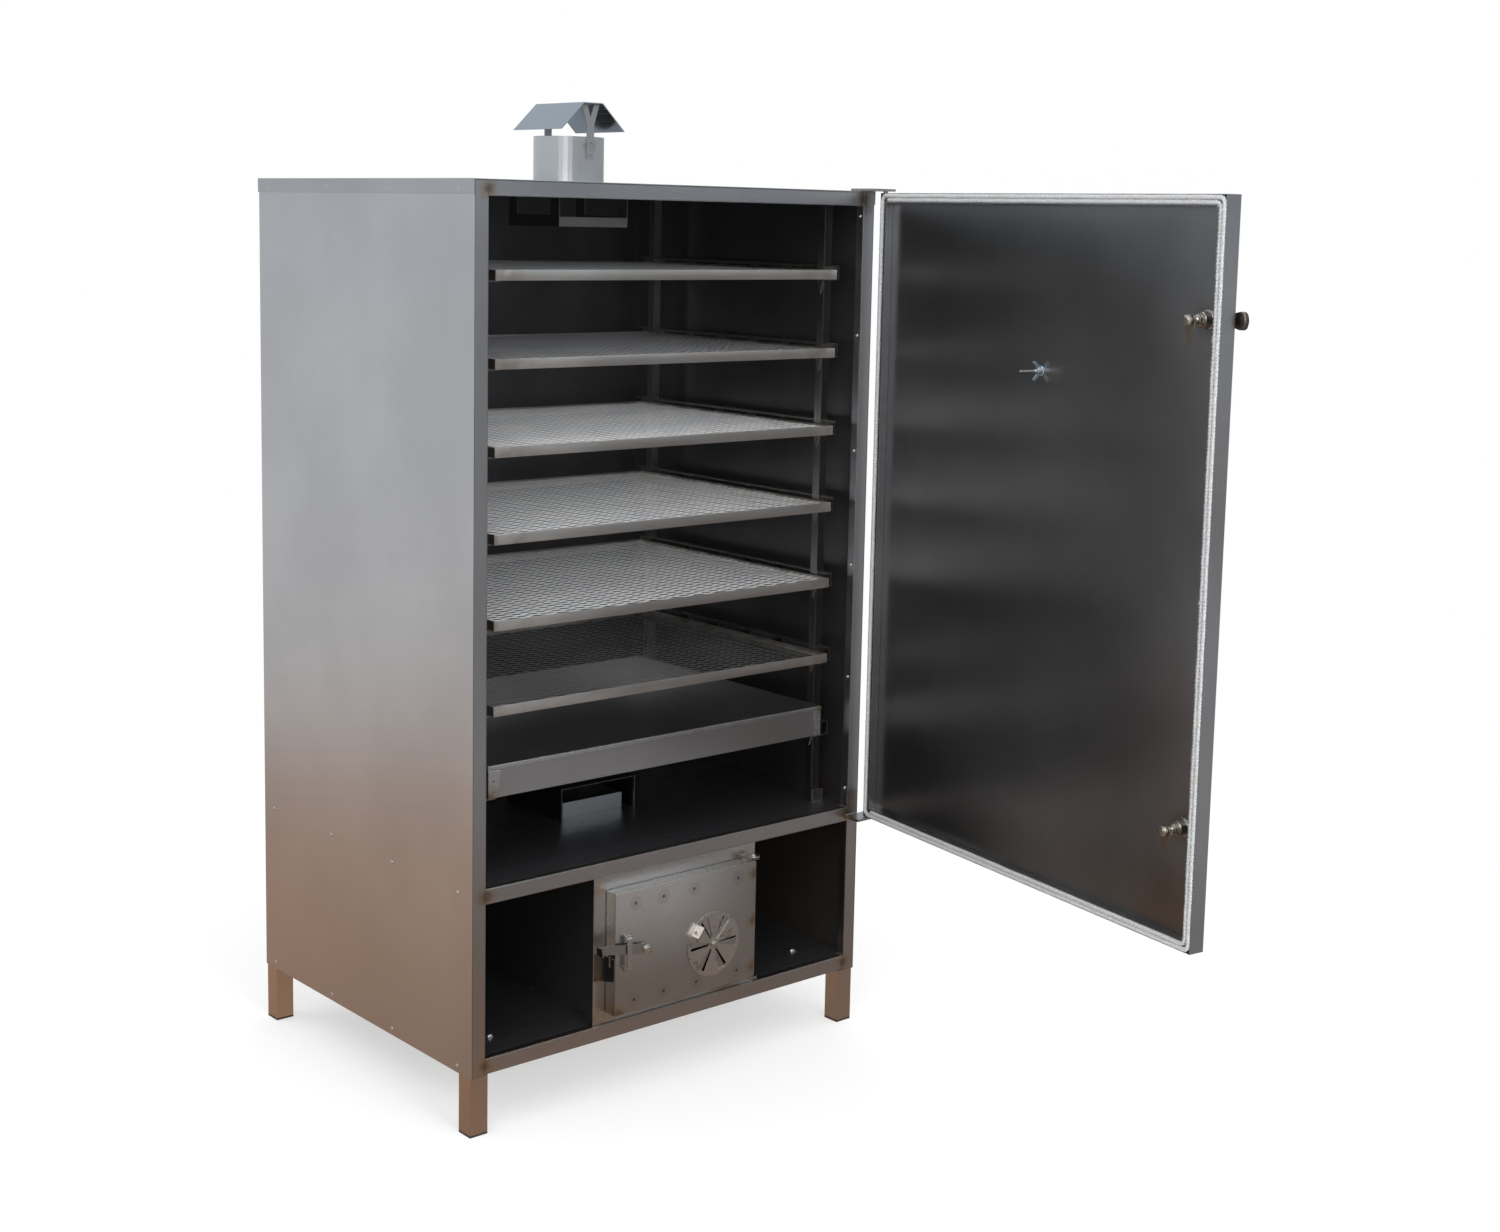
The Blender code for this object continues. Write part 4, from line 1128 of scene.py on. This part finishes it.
ROPE = 0.0047
depth = rope_high.y - ROPE - 0.0006
rope = bmesh.new()
outer_line = rope_run(rope, 0.0036, depth, ROPE, 0.0, True)
inner_line = rope_run(rope, 0.0120, depth, ROPE * 0.95, 4.0, False)
door_piece("door_rope", rope, rope_look, "door_gasket")
FIBRES, FRINGE, THICK, CLEAR = 2600, 700, 0.00022, 0.0004
fuzz = bmesh.new()
for line in (outer_line, inner_line):
    for _ in range(FIBRES):
        spot = fine.choice(line)
        a = fine.uniform(0.1, math.pi - 0.1)
        root = Vector((spot.x, depth, spot.z))
        root += Vector((math.cos(a), math.sin(a) * 0.9, 0)) * ROPE * 0.9
        reach = fine.uniform(0.0015, 0.0065)
        way = Vector((fine.uniform(-1, 1), fine.uniform(0.0, 0.5), fine.uniform(-1, 1)))
        way.normalize()
        tip = root + way * reach
        tip.y = min(tip.y, rope_high.y + 0.0002)
        tip.x = min(max(tip.x, skin_low.x + CLEAR), skin_high.x - CLEAR)
        tip.z = min(max(tip.z, skin_low.z + CLEAR), skin_high.z - CLEAR)
        across = way.cross(Vector((0, 1, 0))).normalized() * THICK
        knee = root.lerp(tip, 0.55) + Vector((0, fine.uniform(0, 0.0008), 0))
        thin = across * 0.8
        points = (root - across, root + across, knee + thin, knee - thin, tip)
        a0, a1, b1, b0, end = (fuzz.verts.new(point) for point in points)
        fuzz.faces.new((a0, a1, b1, b0))
        fuzz.faces.new((b0, b1, end))
across = Vector((0.00025, 0, 0))
for _ in range(FRINGE):
    x = fine.uniform(rope_low.x + 0.01, rope_high.x - 0.03)
    root = Vector((x, depth, rope_high.z - 0.0152))
    lean, lift = fine.uniform(-0.002, 0.002), fine.uniform(0.0, 0.003)
    tip = root + Vector((lean, lift, -fine.uniform(0.001, 0.007)))
    fuzz.faces.new([fuzz.verts.new(point) for point in (root - across, root + across, tip)])
door_piece("door_rope_fibres", fuzz, rope_look, "door_gasket", smooth=False)
RIVETS, LOWEST, APART = 8, 0.571, 0.1645
rivets = bmesh.new()
rivet = [(0.0026, 0.0), (0.0024, 0.0006), (0.0014, 0.0011), (0, 0.0013)]
for i in range(RIVETS):
    at = (rope_high.x - 0.0105, rope_low.y, LOWEST + APART * i)
    turned(rivets, rivet, at, (0, 1, 0), 12)
rust, place, shader = finish("rusted_rivet", {"Roughness": 0.8})
rusty = place.noise(700.0, 4.0).rise(0.35, 0.65)
wired(shader, base_color=rusty.mixed((0.14, 0.055, 0.03), (0.055, 0.03, 0.022)))
door_piece("channel_rivets", rivets, rust)

# --- Turning latches ---
# Each has a turned sleeve through the door, an M12 spindle, two nuts, a tapered tongue hanging
# inside and a cast lever outside.


def threaded(mesh, at, facing, radius, depth, pitch=0.00175):
    """A length of screw thread, drawn as close-set ridges."""
    profile = [(0, 0), (radius * 0.86, 0)]
    for i in range(int(depth / pitch)):
        for share, width in ((0.15, 0.88), (0.5, 1.0), (0.85, 0.88)):
            profile.append((radius * width, (i + share) * pitch))
    turned(mesh, profile + [(radius * 0.80, depth), (0, depth)], at, facing, 20)


def plate(mesh, outline, low, high, bevel):
    """A flat shape in x and z between two depths, with its edges broken."""
    rings = []
    centre = Vector((sum(p[0] for p in outline), sum(p[1] for p in outline))) / len(outline)
    for y, shrink in ((low, 1.0), (low + bevel, 0.0), (high - bevel, 0.0), (high, 1.0)):
        ring = []
        for x, z in outline:
            inward = (centre - Vector((x, z))).normalized() * bevel * shrink
            ring.append(mesh.verts.new((x + inward.x, y, z + inward.y)))
        rings.append(ring)
    joined(mesh, rings)


def curved(points, count=3):
    """The outline with its corners drawn as smooth curves."""
    smooth = []
    total = len(points)
    for i in range(total):
        p0, p1, p2, p3 = (Vector(points[(i + k) % total]) for k in (-1, 0, 1, 2))
        for step in range(count):
            t = step / count
            point = 2 * p1 + (p2 - p0) * t + (2 * p0 - 5 * p1 + 4 * p2 - p3) * t * t
            smooth.append(tuple(0.5 * (point + (3 * p1 - p0 - 3 * p2 + p3) * t * t * t)))
    return smooth


cast, place, shader = finish("cast_lever", {"Metallic": 1.0})
skin = place.noise(700.0, 3.0)
patches = place.noise(60.0, 4.0).rise(0.35, 0.7)
wired(
    shader,
    base_color=patches.mixed((0.20, 0.18, 0.165), (0.10, 0.065, 0.05)),
    roughness=skin * 0.2 + 0.30,
    normal=(skin * 0.00025).relief(0.001),
)
INWARD, FLANGE_EDGE, SPINDLE_HEX = (0, 1, 0), 0.0176, 0.0180
flange = [(0.0066, 0.0), (0.0172, 0.0), (0.0180, 0.0008), (0.0180, 0.0030), (0.0150, 0.0042)]
half_grip = [(0.012, 0.010), (0.034, 0.0125), (0.050, 0.016), (0.060, 0.013)]
half_boss = [(0.0, 0.013), (-0.010, 0.009)]
grip = [(a, -b) for a, b in half_grip] + [(0.064, 0.0)] + half_grip[::-1] + half_boss
grip += [(-0.013, 0.0)] + [(a, -b) for a, b in half_boss[::-1]]
boss = [(0, 0.0), (0.0128, 0.0), (0.0130, 0.0008), (0.0116, 0.0100), (0.0060, 0.0108), (0, 0.0108)]
blade = [(-0.010, 0.008), (0.0, 0.0095), (0.010, 0.008), (0.0125, 0.0), (0.011, -0.012)]
blade += [(0.006, -0.028), (0.003, -0.040), (-0.003, -0.040), (-0.006, -0.028)]
blade += [(-0.011, -0.012), (-0.0125, 0.0)]
for name, (low, high) in latches.items():
    body, handle = f"latch_{name}", f"latch_handle_{name}"
    x, z = (low.x + high.x) / 2, (low.z + high.z) / 2
    end = high.y - low.y
    sleeve = bmesh.new()
    rim = [(0.0142, 0.0050), (0.0142, end - 0.0012), (0.0132, end), (0.0068, end)]
    turned(sleeve, flange + rim, (x, low.y, z), INWARD, 36)
    for k in range(4):
        ends = []
        for a in (math.pi * (0.25 + k / 2) - 0.25, math.pi * (0.25 + k / 2) + 0.25):
            across, rise = FLANGE_EDGE * math.cos(a), FLANGE_EDGE * math.sin(a)
            ends.append((x + across, low.y + 0.0006, z + rise))
        bead(sleeve, *ends, 0.0030)
    hot = [(tuple(OPEN @ Vector((x, low.y, z))), 0.019)]
    steel = brushed(f"{name}_sleeve_steel", (0.42, 0.39, 0.35), 0.26, "X", tints=hot, wave=0.0)
    stands_for = f"latch_sleeve_{name}"
    door_piece(f"latch_sleeve_turned_{name}", sleeve, steel, stands_for)

    spindle_low, spindle_high = shut_box(handle)
    spindle = bmesh.new()
    length = spindle_high.y - high.y + 0.014
    threaded(spindle, (x, high.y - 0.014, z), INWARD, 0.0058, length)
    washer(spindle, (x, high.y + 0.0002, z), INWARD, 0.0105, 0.0012)
    hexagon(spindle, (x, high.y + 0.0014, z), INWARD, SPINDLE_HEX, 0.0074, 0.35)
    hexagon(spindle, (x, spindle_high.y - 0.0094, z), INWARD, SPINDLE_HEX, 0.0068, 0.1)
    door_piece(f"latch_spindle_{name}", spindle, zinc, handle, body=body)

    lever = bmesh.new()
    if name == "upper":
        shape = [(x - a, z + b) for a, b in grip]
    else:
        shape = [(x + b, z - a) for a, b in grip]
    outside = spindle_low.y
    plate(lever, curved(shape), outside + 0.0010, outside + 0.0118, 0.0022)
    turned(lever, boss, (x, skin_low.y - 0.0002, z), OUT, 32)
    hexagon(lever, (x, outside + 0.0035, z), OUT, 0.0120, 0.0034, 0.2)
    door_piece(f"latch_lever_{name}", lever, cast, handle, body=body)

    tongue_low, tongue_high = shut_box(f"latch_tongue_{name}")
    tongue = bmesh.new()
    shape = curved([(x + a, z + b) for a, b in blade])
    plate(tongue, shape, tongue_low.y, tongue_high.y, 0.0005)
    steel = brushed(f"{name}_tongue_steel", (0.30, 0.25, 0.20), 0.30, wave=0.0)
    stands_for = f"latch_tongue_{name}"
    door_piece(f"latch_tongue_blade_{name}", tongue, steel, stands_for, body=body)

# --- Thermometer ---
# A dial on the door's outside with a bead-blasted bezel and a glass, and a stem through the door
# held inside by a zinc wing nut.

dial_low, dial_high = shut_box("thermometer")
px, pz = (dial_low.x + dial_high.x) / 2, (dial_low.z + dial_high.z) / 2
back = skin_low.y - 0.0003
hub = (px, back, pz)
deep, tip = back - dial_low.y, dial_high.y - back
bezel = bmesh.new()
profile = [(0, 0.0), (0.0300, 0.0), (0.0300, deep * 0.3), (0.0335, deep * 0.42)]
profile += [(0.0340, deep * 0.6), (0.0335, deep * 0.92), (0.0322, deep), (0.0306, deep * 0.96)]
turned(bezel, profile + [(0.0300, deep * 0.74), (0, deep * 0.74)], hub, OUT, 56)
turned(bezel, [(0.0040, 0), (0.0040, 0.030), (0.0022, 0.0315)], hub, INWARD, 20)
stem = [(0.0020, 0.030), (0.0020, tip - 0.001), (0.0008, tip), (0, tip)]
turned(bezel, stem, hub, INWARD, 14)
BEZEL_STEEL = {"Metallic": 1.0, "Base Color": (0.66, 0.65, 0.64, 1.0)}
bezel_look, place, shader = finish("bezel_steel", BEZEL_STEEL)
blasted = place.noise(900.0, 3.0) * 0.22 + 0.18
wired(shader, roughness=blasted, normal=place.rounded(0.0005))
door_piece("thermometer_case", bezel, bezel_look, "thermometer")

CARD, STEPS, FIRST, EACH = 0.0298, 31, 225, 9
card = bmesh.new()
card_y = back - deep * 0.76
bar(card, CARD, 0.0002, (px, card_y, pz), OUT, 48)
paper, place, shader = finish("dial_card", {"Roughness": 0.6})
aged = place.noise(120.0, 4.0).rise(0.3, 0.7)
wired(shader, base_color=aged.mixed((0.84, 0.83, 0.79), (0.90, 0.90, 0.88)))
door_piece("thermometer_card", card, paper, "thermometer")


def drawn(mesh, degrees, y, corners):
    """A flat mark at an angle on the dial, from (outwards, sideways) corners."""
    a = math.radians(degrees)
    radial, side = Vector((math.cos(a), 0, math.sin(a))), Vector((-math.sin(a), 0, math.cos(a)))
    at = Vector((px, y, pz))
    mesh.faces.new([mesh.verts.new(at + radial * out + side * off) for out, off in corners])


marks = bmesh.new()
for i in range(STEPS):
    inner, wide = (0.0225, 0.00045) if i % 5 == 0 else (0.0250, 0.00025)
    tick = [(inner, -wide), (0.0275, -wide), (0.0275, wide), (inner, wide)]
    drawn(marks, FIRST - EACH * i, card_y - 0.0004, tick)
drawn(marks, 200, card_y - 0.0010, [(-0.006, -0.0011), (0.0235, 0.0), (-0.006, 0.0011)])
turned(marks, [(0.0026, 0), (0.0022, 0.0010), (0, 0.0012)], (px, card_y - 0.0008, pz), OUT, 18)
ink, place, shader = finish("dial_ink", {"Roughness": 0.45})
wired(shader, base_color=place.noise(200.0).mixed((0.03, 0.03, 0.03), (0.06, 0.055, 0.05)))
door_piece("thermometer_marks", marks, ink, "thermometer", smooth=False)

glass = bmesh.new()
lens = [(0.0303, 0), (0.0220, 0.0005), (0.0110, 0.0008), (0, 0.0009)]
turned(glass, lens, (px, back - deep * 0.90, pz), OUT, 48)
GLASS_EVEN = {"Transmission Weight": 1.0, "IOR": 1.02, "Roughness": 0.0}
GLASS_COAT = {"Coat Weight": 0.6, "Coat Roughness": 0.02}
clear, place, shader = finish("dial_glass", {**GLASS_EVEN, **GLASS_COAT})
wired(shader, base_color=place.noise(80.0).mixed((0.98, 0.99, 0.99), WHITE))
door_piece("thermometer_glass", glass, clear, "thermometer")

base_y = shut_box("thermometer_wing_nut")[0].y
wing = bmesh.new()
washer(wing, (px, base_y, pz), INWARD, 0.0098, 0.0010)
collar = [(0.0042, 0.0010), (0.0078, 0.0010), (0.0078, 0.0024), (0.0062, 0.0062)]
turned(wing, collar + [(0.0054, 0.0098), (0.0042, 0.0104)], (px, base_y, pz), INWARD, 24)
ear = [(0.0050, 0.0022), (0.0090, 0.0050), (0.0140, 0.0094), (0.0178, 0.0140), (0.0184, 0.0178)]
ear += [(0.0164, 0.0196), (0.0132, 0.0178), (0.0092, 0.0132), (0.0058, 0.0098)]
HALF_EAR = 0.0012
for sign in (-1, 1):
    outline = [(px - HALF_EAR, base_y + b, pz + sign * a) for a, b in curved(ear)]
    cut_out(wing, outline, (2 * HALF_EAR, 0, 0))
BLUE, DULL_BLUE = (0.80, 0.90, 0.96), (0.58, 0.72, 0.80)
blue = plated("blue_zinc", BLUE, DULL_BLUE, (260.0, 3.0, 0.3, 0.7), (0.14, 0.15), 0.0005)
door_piece("wing_nut_cast", wing, blue, "thermometer_wing_nut")
